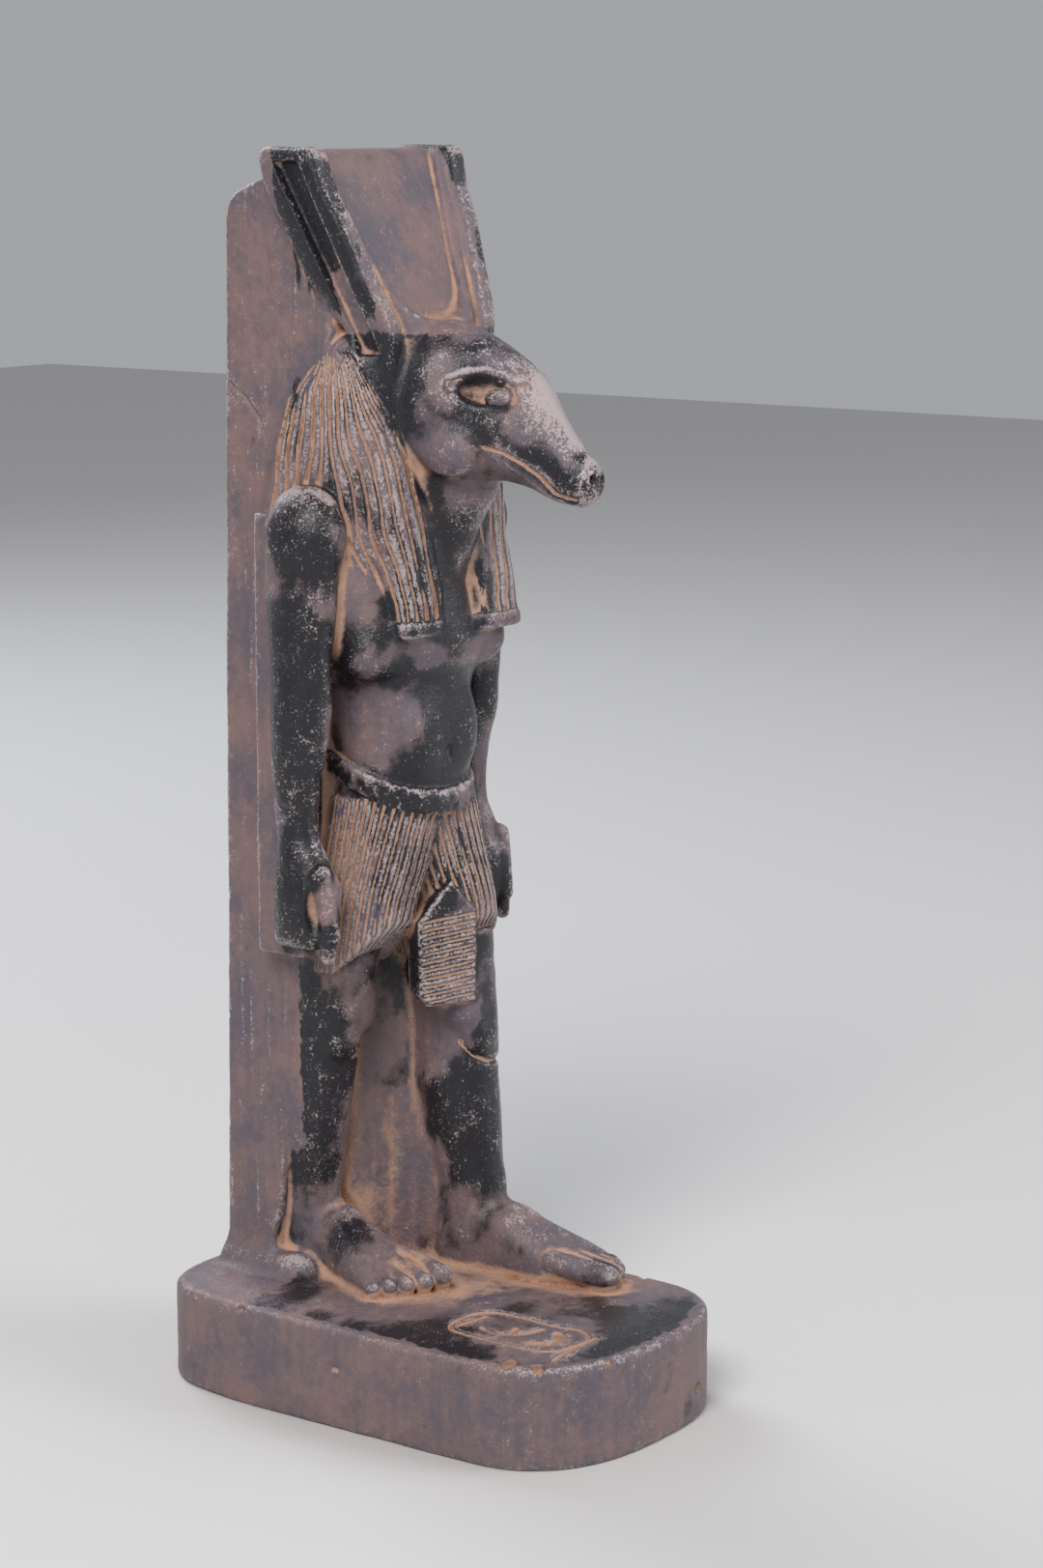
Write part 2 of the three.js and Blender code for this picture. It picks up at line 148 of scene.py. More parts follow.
def gentle_curve(rows: np.ndarray, samples: int = 160) -> np.ndarray:
    """Turns a few stations into many, along curves that don't overshoot.

    Args:
        rows: One station a row, sorted by its first value.
        samples: How many rows to return.

    Returns:
        The dense rows.
    """
    along = rows[:, 0]
    span = np.diff(along)
    slope = np.diff(rows, axis=0) / span[:, None]
    tangent = np.zeros_like(rows)
    inner = slope[:-1] * slope[1:] > 0
    tangent[1:-1] = np.where(inner, 2 * slope[:-1] * slope[1:] / np.where(inner, slope[:-1] + slope[1:], 1), 0)
    tangent[0] = slope[0]
    tangent[-1] = slope[-1]
    at = np.linspace(along[0], along[-1], samples)
    k = np.clip(np.searchsorted(along, at, side="right") - 1, 0, len(span) - 1)
    t = ((at - along[k]) / span[k])[:, None]
    h = span[k][:, None]
    dense = (
        (2 * t**3 - 3 * t**2 + 1) * rows[k] + (t**3 - 2 * t**2 + t) * h * tangent[k]
        + (3 * t**2 - 2 * t**3) * rows[k + 1] + (t**3 - t**2) * h * tangent[k + 1]
    )
    dense[:, 0] = at
    return dense


def outline_distance(a: Values, b: Values, corners: Sequence[Sequence[float]]) -> Values:
    """Distance to a closed outline in a plane, negative inside it.

    Args:
        a: First coordinates.
        b: Second coordinates.
        corners: The outline's corners in order.

    Returns:
        Signed distances.
    """
    best = np.full(a.shape, 1e9)
    inside = np.zeros(a.shape, bool)
    for (x0, y0), (x1, y1) in zip(corners, list(corners[1:]) + [corners[0]]):
        ex, ey = x1 - x0, y1 - y0
        t = np.clip(((a - x0) * ex + (b - y0) * ey) / (ex * ex + ey * ey), 0, 1)
        best = np.minimum(best, (a - x0 - t * ex) ** 2 + (b - y0 - t * ey) ** 2)
        crosses = (y0 > b) != (y1 > b)
        inside ^= crosses & (a < ex * (b - y0) / (ey if ey else 1e-9) + x0)
    return np.sqrt(best) * np.where(inside, -1, 1)


def line_distance(a: Values, b: Values, line: Sequence[Sequence[float]]) -> Values:
    """Distance to an open line of straight stretches in a plane."""
    best = np.full(a.shape, 1e9)
    for (x0, y0), (x1, y1) in zip(line, line[1:]):
        ex, ey = x1 - x0, y1 - y0
        t = np.clip(((a - x0) * ex + (b - y0) * ey) / (ex * ex + ey * ey), 0, 1)
        best = np.minimum(best, (a - x0 - t * ex) ** 2 + (b - y0 - t * ey) ** 2)
    return np.sqrt(best)


def oblique(points: Points) -> tuple[Values, Values]:
    """Coordinates across and up on a plane that faces both the front and a flank.

    The lines cut into the head, the wig and the knees are drawn on this plane, once for each flank.

    Args:
        points: Places in mm.

    Returns:
        The distance across, growing towards the front, and the height.
    """
    outward = -np.abs(points[:, 0])
    across = 0.595 * outward - 0.804 * points[:, 1]
    depth = 0.804 * outward + 0.595 * points[:, 1]
    return across, 0.984 * points[:, 2] + 0.179 * depth


def groove(distance: Values, width: float, depth: float) -> Values:
    """A cut with a rounded bottom: how much stone it takes away at a distance from its line."""
    return depth * np.exp(-((distance / width) ** 2) * 2.0)


@dataclass(frozen=True)
class Loft:
    """A form drawn through stations of centre, place along the axis, half sizes and squareness."""

    stations: Sequence[Station]
    axis: int = 2
    round_end: float = 1.5
    tilt: float = 0.0
    hem_lift: float = 0.0
    hem_flat: float = 4.0
    flip: bool = False
    shift: Sequence[float] = (0.0, 0.0, 0.0)

    def _place(self, points: Points) -> Points:
        """Takes points to where the stations are written."""
        q = points - np.asarray(self.shift)
        if self.flip:
            q = q * np.array([-1.0, 1.0, 1.0])
        return q

    def box(self) -> tuple[np.ndarray, np.ndarray]:
        """Lowest and highest corners of the form."""
        rows = np.array(self.stations)
        other = 3 - self.axis
        low, high = np.zeros(3), np.zeros(3)
        low[0], high[0] = (rows[:, 0] - rows[:, 3]).min(), (rows[:, 0] + rows[:, 3]).max()
        low[other], high[other] = (rows[:, 1] - rows[:, 4]).min(), (rows[:, 1] + rows[:, 4]).max()
        low[self.axis], high[self.axis] = rows[:, 2].min(), rows[:, 2].max()
        slack = abs(self.tilt) * rows[:, 4].max() + abs(self.hem_lift) * rows[:, 4].max()
        low[self.axis] -= slack
        high[self.axis] += slack
        if self.flip:
            low[0], high[0] = -high[0], -low[0]
        return low + self.shift, high + self.shift

    def section(self, points: Points) -> tuple[Values, Values, Values, Values]:
        """Where each point stands in its own cross-section.

        Args:
            points: Places in mm.

        Returns:
            Offsets from the section's centre, the place along the axis and the section's distance.
        """
        q = self._place(points)
        other = 3 - self.axis
        along = q[:, self.axis]
        rows = np.array(self.stations, float)
        rows = rows[np.argsort(rows[:, 2])][:, [2, 0, 1, 3, 4, 5]]
        dense = gentle_curve(rows)
        where = along
        if self.tilt:
            where = along - self.tilt * (q[:, other] - rows[:, 2].mean())
        cu, cv, ru, rv, power = (np.interp(where, dense[:, 0], dense[:, k]) for k in range(1, 6))
        du, dv = q[:, 0] - cu, q[:, other] - cv
        a, b = np.abs(du) / ru + 1e-4, np.abs(dv) / rv + 1e-4
        g = (a**power + b**power) ** (1 / power)
        ga = (a / g) ** (power - 1) / ru
        gb = (b / g) ** (power - 1) / rv
        return du, dv, where, (g - 1) / np.hypot(ga, gb)

    def distance(self, points: Points) -> Values:
        """Signed distance to the form."""
        du, dv, where, flat = self.section(points)
        along = [row[2] for row in self.stations]
        low, high = min(along), max(along)
        if self.hem_lift:
            low = low + self.hem_lift * np.maximum(0, -dv - self.hem_flat)
        ends = np.maximum(low - where, where - high)
        return rounded_meeting(flat, ends, self.round_end)


@dataclass(frozen=True)
class Lump:
    """An egg-shaped swelling or hollow."""

    centre: Sequence[float]
    radii: Sequence[float]
    lean: float = 0.0

    def box(self) -> tuple[np.ndarray, np.ndarray]:
        """Lowest and highest corners of the form."""
        reach = np.full(3, max(self.radii)) if self.lean else np.array(self.radii)
        return np.array(self.centre) - reach, np.array(self.centre) + reach

    def distance(self, points: Points) -> Values:
        """Signed distance to the form."""
        q = points - np.array(self.centre)
        if self.lean:
            c, s = math.cos(self.lean), math.sin(self.lean)
            q = np.stack([c * q[:, 0] + s * q[:, 2], q[:, 1], c * q[:, 2] - s * q[:, 0]], 1)
        scaled = q / np.array(self.radii)
        k0 = np.linalg.norm(scaled, axis=1) + 1e-6
        k1 = np.linalg.norm(scaled / np.array(self.radii), axis=1) + 1e-6
        return k0 * (k0 - 1) / k1


@dataclass(frozen=True)
class Rod:
    """A round rod between two places, with its own radius at each end."""

    start: Sequence[float]
    end: Sequence[float]
    radius: float
    end_radius: float = 0.0

    def box(self) -> tuple[np.ndarray, np.ndarray]:
        """Lowest and highest corners of the form."""
        r = max(self.radius, self.end_radius)
        return np.minimum(self.start, self.end) - r, np.maximum(self.start, self.end) + r

    def distance(self, points: Points) -> Values:
        """Signed distance to the form."""
        a = np.array(self.start)
        line = np.array(self.end) - a
        t = np.clip((points - a) @ line / (line @ line), 0, 1)
        r = self.radius + t * ((self.end_radius or self.radius) - self.radius)
        return np.linalg.norm(points - a - t[:, None] * line, axis=1) - r


@dataclass(frozen=True)
class Board:
    """An outline with thickness: drawn in its own plane and turned about the upright axis."""

    outline: Sequence[Sequence[float]]
    low: float
    high: float
    edge: float = 0.8
    plane: str = "yz"
    turn: float = 0.0
    at: Sequence[float] = (0.0, 0.0)

    def axes(self, points: Points) -> tuple[Values, Values, Values]:
        """The outline's two coordinates and the one across its thickness."""
        x, y, z = points[:, 0] - self.at[0], points[:, 1] - self.at[1], points[:, 2]
        if self.turn:
            c, s = math.cos(self.turn), math.sin(self.turn)
            x, y = c * x + s * y, c * y - s * x
        return {"yz": (y, z, x), "xz": (x, z, y), "xy": (x, y, z)}[self.plane]

    def box(self) -> tuple[np.ndarray, np.ndarray]:
        """Lowest and highest corners of the form."""
        pts = np.array(self.outline)
        low2, high2 = pts.min(0), pts.max(0)
        if self.plane == "yz":
            low, high = [self.low, *low2], [self.high, *high2]
        elif self.plane == "xz":
            low, high = [low2[0], self.low, low2[1]], [high2[0], self.high, high2[1]]
        else:
            low, high = [*low2, self.low], [*high2, self.high]
        low, high = np.array(low, float), np.array(high, float)
        if self.turn:
            reach = max(np.hypot(*low[:2]), np.hypot(*high[:2]))
            low[:2], high[:2] = -reach, reach
        move = np.array([*self.at, 0.0])
        return low + move, high + move

    def distance(self, points: Points) -> Values:
        """Signed distance to the form."""
        a, b, across = self.axes(points)
        flat = outline_distance(a, b, self.outline)
        ends = np.maximum(self.low - across, across - self.high)
        return rounded_meeting(flat, ends, self.edge)


@dataclass(frozen=True)
class Step:
    """One form worked into the block, with how it meets what is there and the lines cut into it."""

    form: Loft | Lump | Rod | Board
    reach: float = 1.0
    work: Work = Work.JOIN
    relief: Callable[[Points], Values] | None = None


@dataclass(frozen=True)
class Patch:
    """A place where the surface has more sand (above zero) or bare dark stone (below zero)."""

    centre: Sequence[float]
    radius: float
    amount: float
    tall: float = 1.0


@dataclass
class Plinth:
    """The plinth: a long block with a bluntly rounded front and squarer back corners."""

    centre_x: float = -9.0
    half_width: float = 45.7
    front: float = -75.0
    back: float = 75.0
    front_round: float = 36.0
    back_round: float = 78.0
    front_power: float = 2.6
    back_power: float = 5.0
    height: float = 28.6
    crown: float = 1.4
    crown_inset: float = 13.0
    edge: float = 1.7
    chips: Sequence[Sequence[float]] = (
        (-49.5, -53.0, 28.0, 2.6), (-46.5, -60.5, 27.6, 2.2), (-55.0, 3.0, 17.0, 1.5), (-54.5, -20.0, 28.6, 1.6),
        (12.0, -73.0, 9.0, 2.0), (-30.0, -72.0, 27.8, 1.4), (-54.8, 38.0, 27.4, 2.0), (34.0, -38.0, 28.0, 1.8),
    )

    def box(self) -> tuple[np.ndarray, np.ndarray]:
        """Lowest and highest corners of the plinth."""
        low = np.array([self.centre_x - self.half_width, self.front, 0.0])
        high = np.array([self.centre_x + self.half_width, self.back, self.height + self.crown])
        return low, high

    def plan(self, points: Points) -> Values:
        """Signed distance to the plan outline."""
        x = np.abs(points[:, 0] - self.centre_x)
        y = points[:, 1]
        front = self.front + self.front_round
        back = self.back - self.back_round
        forward = np.maximum(front - y, 0)
        backward = np.maximum(y - back, 0)
        result = x - self.half_width
        for reach, size, power in ((forward, self.front_round, self.front_power),
                                   (backward, self.back_round, self.back_power)):
            a, b = x / self.half_width + 1e-4, reach / size + 1e-4
            g = (a**power + b**power) ** (1 / power)
            slope = np.hypot((a / g) ** (power - 1) / self.half_width, (b / g) ** (power - 1) / size)
            result = np.where(reach > 0, (g - 1) / slope, result)
        return result

    def distance(self, points: Points) -> Values:
        """Signed distance to the plinth, with its worn edge and its chips."""
        plan = self.plan(points)
        top = self.height + self.crown * step_between(0, self.crown_inset, -plan)
        wave = GRAIN.at(points, 9.0)
        top = top + 0.35 * wave * step_between(0, 4, -plan)
        ends = np.maximum(-points[:, 2], points[:, 2] - top)
        edge = self.edge + 0.5 * GRAIN.at(points + 40, 13.0)
        block = rounded_meeting(plan, ends, edge)
        for x, y, z, size in self.chips:
            away = np.linalg.norm((points - np.array([x, y, z])) * np.array([1, 1, 1.3]), axis=1)
            block = np.maximum(block, (size - away) * 0.8 + 0.2 * GRAIN.at(points, 1.7))
        return block


@dataclass
class Frame:
    """The oval frame cut in the plinth's top, with generic strokes inside it."""

    near_x: float = -39.0
    far_x: float = -17.5
    back_y: float = -21.5
    front_y: float = -60.5
    tie_y: float = -61.6
    tie_ends: Sequence[float] = (-40.5, -20.5)
    width: float = 0.95
    depth: float = 0.9
    wave: Sequence[Sequence[float]] = ((-31.8, -30.5), (-34.0, -37.0), (-31.6, -40.8), (-27.0, -43.6), (-22.6, -44.6))
    peg: Sequence[Sequence[float]] = ((-31.8, -40.0), (-27.0, -38.6))
    leaf: Sequence[Sequence[float]] = ((-34.6, -49.0), (-31.0, -54.2), (-26.0, -53.6), (-23.0, -50.0))
    hook: Sequence[Sequence[float]] = ((-33.4, -24.4), (-28.4, -25.4), (-23.4, -25.8))

    def lines(self, points: Points) -> Values:
        """How deep the frame and its strokes are cut at each place."""
        x, y = points[:, 0], points[:, 1]
        wander = 0.5 * GRAIN.at(points * np.array([1, 1, 0.0]), 6.0)
        cx, cy = (self.near_x + self.far_x) / 2, (self.back_y + self.front_y) / 2
        hx, hy = (self.far_x - self.near_x) / 2, (self.back_y - self.front_y) / 2
        round_end = hx * 0.8
        qx, qy = np.abs(x - cx) - hx + round_end, np.abs(y - cy) - hy + round_end
        oval = np.hypot(np.maximum(qx, 0), np.maximum(qy, 0)) + np.minimum(np.maximum(qx, qy), 0) - round_end
        cut = groove(oval + wander, self.width, self.depth)
        tie = line_distance(x, y, [(self.tie_ends[0], self.tie_y), (self.tie_ends[1], self.tie_y + 0.8)])
        cut = np.maximum(cut, groove(tie + 0.3 * wander, self.width, self.depth))
        for stroke in (self.wave, self.hook):
            cut = np.maximum(cut, groove(line_distance(x, y, stroke) + 0.3 * wander, self.width * 0.9, self.depth))
        cut = np.maximum(cut, groove(line_distance(x, y, self.peg), self.width * 1.5, self.depth))
        cut = np.maximum(cut, groove(np.maximum(line_distance(x, y, self.leaf) - 0.8, 0), self.width, self.depth))
        return cut


@dataclass
class BackSlab:
    """The upright slab behind the figure: thin behind its legs, deep behind its head."""

    half_width: float = 26.0
    side: Sequence[Sequence[float]] = (
        (49, 20), (66.8, 20), (66.6, 36), (62.6, 332), (61.6, 335.6), (58.6, 337.8), (28, 349.5), (24, 300),
        (38, 272), (41, 240), (41, 112), (45, 90), (44.4, 62), (47, 46), (50, 36),
    )
    foot: Sequence[Station] = ((0, 49.5, 27, 36, 24.6, 4), (0, 51, 30.6, 31, 20, 5), (0, 53, 36, 27, 15.5, 7))
    panel: Sequence[Station] = (
        (0, 21, 292, 15, 16, 5), (0, 24, 303, 17.5, 18.5, 6), (0, 33, 326, 24, 16, 8), (0, 38, 349, 28, 12.4, 8),
    )
    field_top: Sequence[float] = (28.0, 349.0)
    field_base: Sequence[float] = (8.0, 303.0)
    field_half: Sequence[float] = (24.6, 13.5)
    field_sink: float = 2.6
    crack: Sequence[Sequence[float]] = ((64.0, 287.0), (56.0, 281.5), (51.0, 276.0), (48.5, 270.5))
    streak_depth: float = 0.28

    def wear(self, points: Points) -> Values:
        """Tool streaks, the crack and the uneven face of the slab."""
        streaks = GRAIN.at(points, (2.2, 1.6, 26.0)) * self.streak_depth
        pits = np.maximum(GRAIN.at(points + 9, 3.2) - 0.45, 0) * 0.7
        crack = groove(line_distance(points[:, 1], points[:, 2], self.crack), 0.5, 0.8) * (points[:, 0] < -20)
        return streaks + pits + crack

    def field_depth(self, points: Points) -> Values:
        """Signed distance to the hollow field between the ears, wide above and rounded below."""
        rise = np.array([self.field_top[0] - self.field_base[0], self.field_top[1] - self.field_base[1]])
        length = float(np.hypot(*rise))
        rise /= length
        y, z = points[:, 1] - self.field_base[0], points[:, 2] - self.field_base[1]
        up = y * rise[0] + z * rise[1]
        inward = y * rise[1] - z * rise[0]
        half = self.field_half[1] + (self.field_half[0] - self.field_half[1]) * np.clip(up / length, 0, 1.4)
        bottom = self.field_half[1] * 0.75
        below = np.maximum(bottom - up, 0) / bottom
        side = np.abs(points[:, 0]) / half
        plan = (np.sqrt(side**2 + below**2 + 1e-6) - 1) * np.where(below > 0, bottom, half)
        plan = np.where(below > 0, plan, np.abs(points[:, 0]) - half)
        return rounded_meeting(plan, inward - self.field_sink, 0.6)

    def steps(self) -> list[Step]:
        """The slab's forms in working order."""
        slab = Board(self.side, -self.half_width, self.half_width, edge=1.3)
        return [
            Step(slab, relief=self.wear),
            Step(Loft(self.foot, round_end=3.0), reach=5.0),
            Step(Loft(self.panel, round_end=1.2), reach=1.2),
        ]


@dataclass
class Ears:
    """Two tall square-cut ears, each with a sunk trough down its outer face."""

    stations: Sequence[Station] = (
        (-19.5, 12, 287, 2.8, 4.6, 4), (-20.6, 13, 298, 3.8, 7.4, 4), (-24, 20.4, 312, 4.2, 10.2, 5),
        (-27, 27.0, 328, 4.3, 10.6, 5), (-29.6, 33, 342, 4.4, 10.2, 5), (-30.4, 34.3, 350, 4.3, 9.6, 5),
    )
    trough: Sequence[Station] = (
        (-24.8, 12.6, 294.5, 2.8, 3.0, 6), (-29.4, 23.0, 320, 2.9, 3.7, 6), (-34.6, 33.7, 346.0, 3.1, 4.3, 6),
    )

    def steps(self) -> list[Step]:
        """The ears' forms in working order."""
        made = []
        for flip in (False, True):
            made.append(Step(Loft(self.stations, round_end=3.0, flip=flip), reach=1.6))
            made.append(Step(Loft(self.trough, round_end=1.0, flip=flip), reach=1.2, work=Work.CUT))
        return made


@dataclass
class Wig:
    """The long wig, with strands that fan from the ears into two lappets on the chest."""

    cap: Sequence[Station] = (
        (0, 31.5, 230, 29, 25, 3), (0, 31, 244, 31, 26.5, 3), (0, 29, 262, 31.5, 25, 2.8),
        (0, 26, 279, 30.8, 23, 2.6), (0, 22.5, 290, 28.4, 19.6, 2.4), (0, 19, 299, 24.5, 15.5, 2.2),
        (0, 17, 303, 18, 11, 2),
    )
    right_lappet: Sequence[Station] = (
        (-13.5, 5.6, 217.5, 8.3, 5, 3.6), (-14, 7.2, 230, 8.9, 6.8, 3.3), (-15.5, 9.5, 243, 9.6, 8.4, 2.9),
        (-17.5, 12, 256, 9.8, 9.2, 2.5), (-19, 15, 269, 8.6, 9.4, 2.2), (-19.5, 17, 284, 6, 7.4, 2),
    )
    left_lappet: Sequence[Station] = (
        (15.8, 1.8, 217.5, 9.3, 5, 3.6), (15.8, 4.6, 230, 9.3, 6.8, 3.3), (16, 8.6, 243, 9.5, 8.4, 2.9),
        (17, 10.8, 256, 9.5, 9.2, 2.5), (19, 15, 269, 8.6, 9.4, 2.2), (19.5, 17, 284, 6, 7.4, 2),
    )
    front_edge: Sequence[Sequence[float]] = (
        (212, -4.4), (220, -4.4), (230, -4.6), (240, -5.5), (248, -7.6), (259, -12.3), (270, -17.9),
        (279, -22.5), (289, -30.5), (296, -32.0),
    )
    spread: Sequence[Sequence[float]] = (
        (212, 28.0), (220, 30.8), (230, 38.4), (240, 46.8), (248, 45.8), (259, 38.6), (270, 30.1),
        (279, 23.5), (289, 8.5), (296, 5.0),
    )
    strands: int = 12
    hem_top: float = 221.4
    groove_width: float = 0.62
    groove_depth: float = 1.1

    def strand_lines(self, points: Points) -> Values:
        """How deep the lines between strands are cut at each place."""
        across, height = oblique(points)
        edge = np.interp(height, *np.array(self.front_edge).T)
        spread = np.interp(height, *np.array(self.spread).T)
        wander = 0.045 * GRAIN.at(points, (9.0, 9.0, 16.0))
        share = 1 + (across - edge) / spread + wander
        count = share * self.strands
        away = np.abs(count - np.round(count)) * spread / self.strands
        width = np.minimum(self.groove_width, 0.22 * spread / self.strands + 0.12)
        cut = self.groove_depth * np.exp(-((away / width) ** 2) * 1.6)
        fade = step_between(-0.04, 0.0, share) * (1 - step_between(0.985, 1.0, share))
        fade *= 1 - step_between(286, 291, height)
        break_up = step_between(-0.75, -0.35, GRAIN.at(points + 70, (6.0, 6.0, 11.0)))
        return cut * fade * (0.35 + 0.65 * break_up)

    def lappet_lines(self, points: Points) -> Values:
        """Strand lines above the lappet's hem, and the plain raised band below them."""
        z = points[:, 2]
        strands = self.strand_lines(points) * step_between(self.hem_top, self.hem_top + 0.6, z)
        return strands - 0.55 * (1 - step_between(self.hem_top - 0.5, self.hem_top + 0.3, z))

    def steps(self) -> list[Step]:
        """The wig's forms in working order."""
        return [
            Step(Loft(self.cap, round_end=2.0), reach=1.6, relief=self.strand_lines),
            Step(Loft(self.right_lappet, round_end=0.9), reach=1.4, relief=self.lappet_lines),
            Step(Loft(self.left_lappet, round_end=0.9), reach=1.4, relief=self.lappet_lines),
        ]


@dataclass
class Head:
    """The long down-curved head: skull, muzzle, brows, eyes, mouth and nostrils."""

    stations: Sequence[Station] = (
        (0, 280.5, 24, 18, 18.5, 2), (0, 281.3, 12, 20.5, 22.3, 2.1), (0, 280.7, 2, 19.8, 22.3, 2.1),
        (0, 279.4, -8, 16.8, 20.4, 2.1), (0, 278, -16, 13.4, 18, 2.1), (0, 275.5, -23, 10.4, 16.5, 2.1),
        (0, 272.7, -28, 8.3, 15.3, 2.1), (0, 267.8, -33, 6.9, 12.2, 2.1), (0, 263.3, -39, 6.0, 8.7, 2.2),
        (0, 261.2, -43, 5.4, 6.6, 2.3), (0, 261.0, -46.4, 4.6, 4.8, 2.2),
    )
    throat: Sequence[Station] = (
        (0, 12, 212, 8, 10, 2), (0, 11.5, 228, 8.5, 10, 2), (0, 9, 243, 9.5, 12, 2),
        (0, 6, 256, 12, 16, 2), (0, 4, 266, 14, 18, 2),
    )
    brow: Sequence[Sequence[float]] = ((-2.5, 281.4), (1.6, 283.0), (6.3, 283.3), (10.5, 282.3), (16.0, 279.9))
    under_brow: Sequence[Sequence[float]] = ((-3.4, 280.0), (3.7, 281.2), (10.0, 280.2), (14.4, 277.8), (15.4, 273.6))
    eye: Sequence[Sequence[float]] = (
        (6.9, 276.9), (8.2, 278.0), (10.2, 278.3), (12.4, 277.2), (14.3, 273.9), (12.0, 274.8), (9.2, 275.6),
    )
    eye_line: Sequence[Sequence[float]] = ((-3.4, 278.0), (2.2, 277.9), (6.9, 277.0))
    tick: Sequence[Sequence[float]] = ((-3.6, 279.6), (-3.6, 276.3))
    mouth: Sequence[Sequence[float]] = (
        (1.1, 263.8), (6.3, 262.4), (11.6, 260.8), (17.3, 257.6), (21.5, 254.4), (26.2, 249.4), (31.6, 247.6),
    )
    lip: Sequence[Sequence[float]] = ((2.7, 262.2), (10.5, 259.0), (17.3, 254.9), (23.6, 249.6), (28.0, 247.6))
    nostril: Sequence[float] = (2.3, -46.6, 262.2)

    def carving(self, points: Points) -> Values:
        """Lines cut into the head, less what stands proud of it."""
        across, height = oblique(points)
        near = step_between(12, 4, points[:, 1])
        cut = 0.8 * groove(line_distance(across, height, self.mouth), 0.75, 1.0)
        cut += groove(line_distance(across, height, self.under_brow), 1.1, 0.7)
        eye = outline_distance(across, height, self.eye)
        cut += groove(eye - 0.15, 0.5, 0.6)
        cut += groove(np.abs(line_distance(across, height, self.eye_line) - 0.9), 0.45, 0.35)
        cut += groove(line_distance(across, height, self.tick), 0.5, 0.35)
        proud = groove(line_distance(across, height, self.brow), 1.3, 0.75)
        proud += groove(np.abs(eye - 1.0), 0.6, 0.35)
        proud += 0.9 * step_between(0.2, -1.3, eye)
        proud += groove(line_distance(across, height, self.lip), 0.8, 0.5)
        ridge = groove(points[:, 0], 2.6, 0.5) * step_between(-24, -30, points[:, 1])
        ridge = ridge * step_between(262, 268, points[:, 2])
        return (cut - proud - ridge) * near

    def steps(self) -> list[Step]:
        """The head's forms in working order."""
        made = [
            Step(Loft(self.throat, round_end=4), reach=4.0),
            Step(Loft(self.stations, axis=1, round_end=2.6), reach=2.2, relief=self.carving),
        ]
        for side in Side:
            x = side.value
            made.append(Step(Lump((x * 12.2, -17.5, 285.4), (4.4, 8.0, 3.8)), reach=2.0, work=Work.CUT))
            made.append(Step(Lump((x * 10.1, -20.2, 283.4), (2.6, 4.2, 2.5)), reach=0.8))
            made.append(Step(Lump((x * 14.6, -7.5, 268.5), (4.6, 8.5, 6.5)), reach=4.0))
            nostril = (x * self.nostril[0], self.nostril[1], self.nostril[2])
            made.append(Step(Lump(nostril, (0.9, 2.4, 1.1)), reach=0.6, work=Work.CUT))
        return made


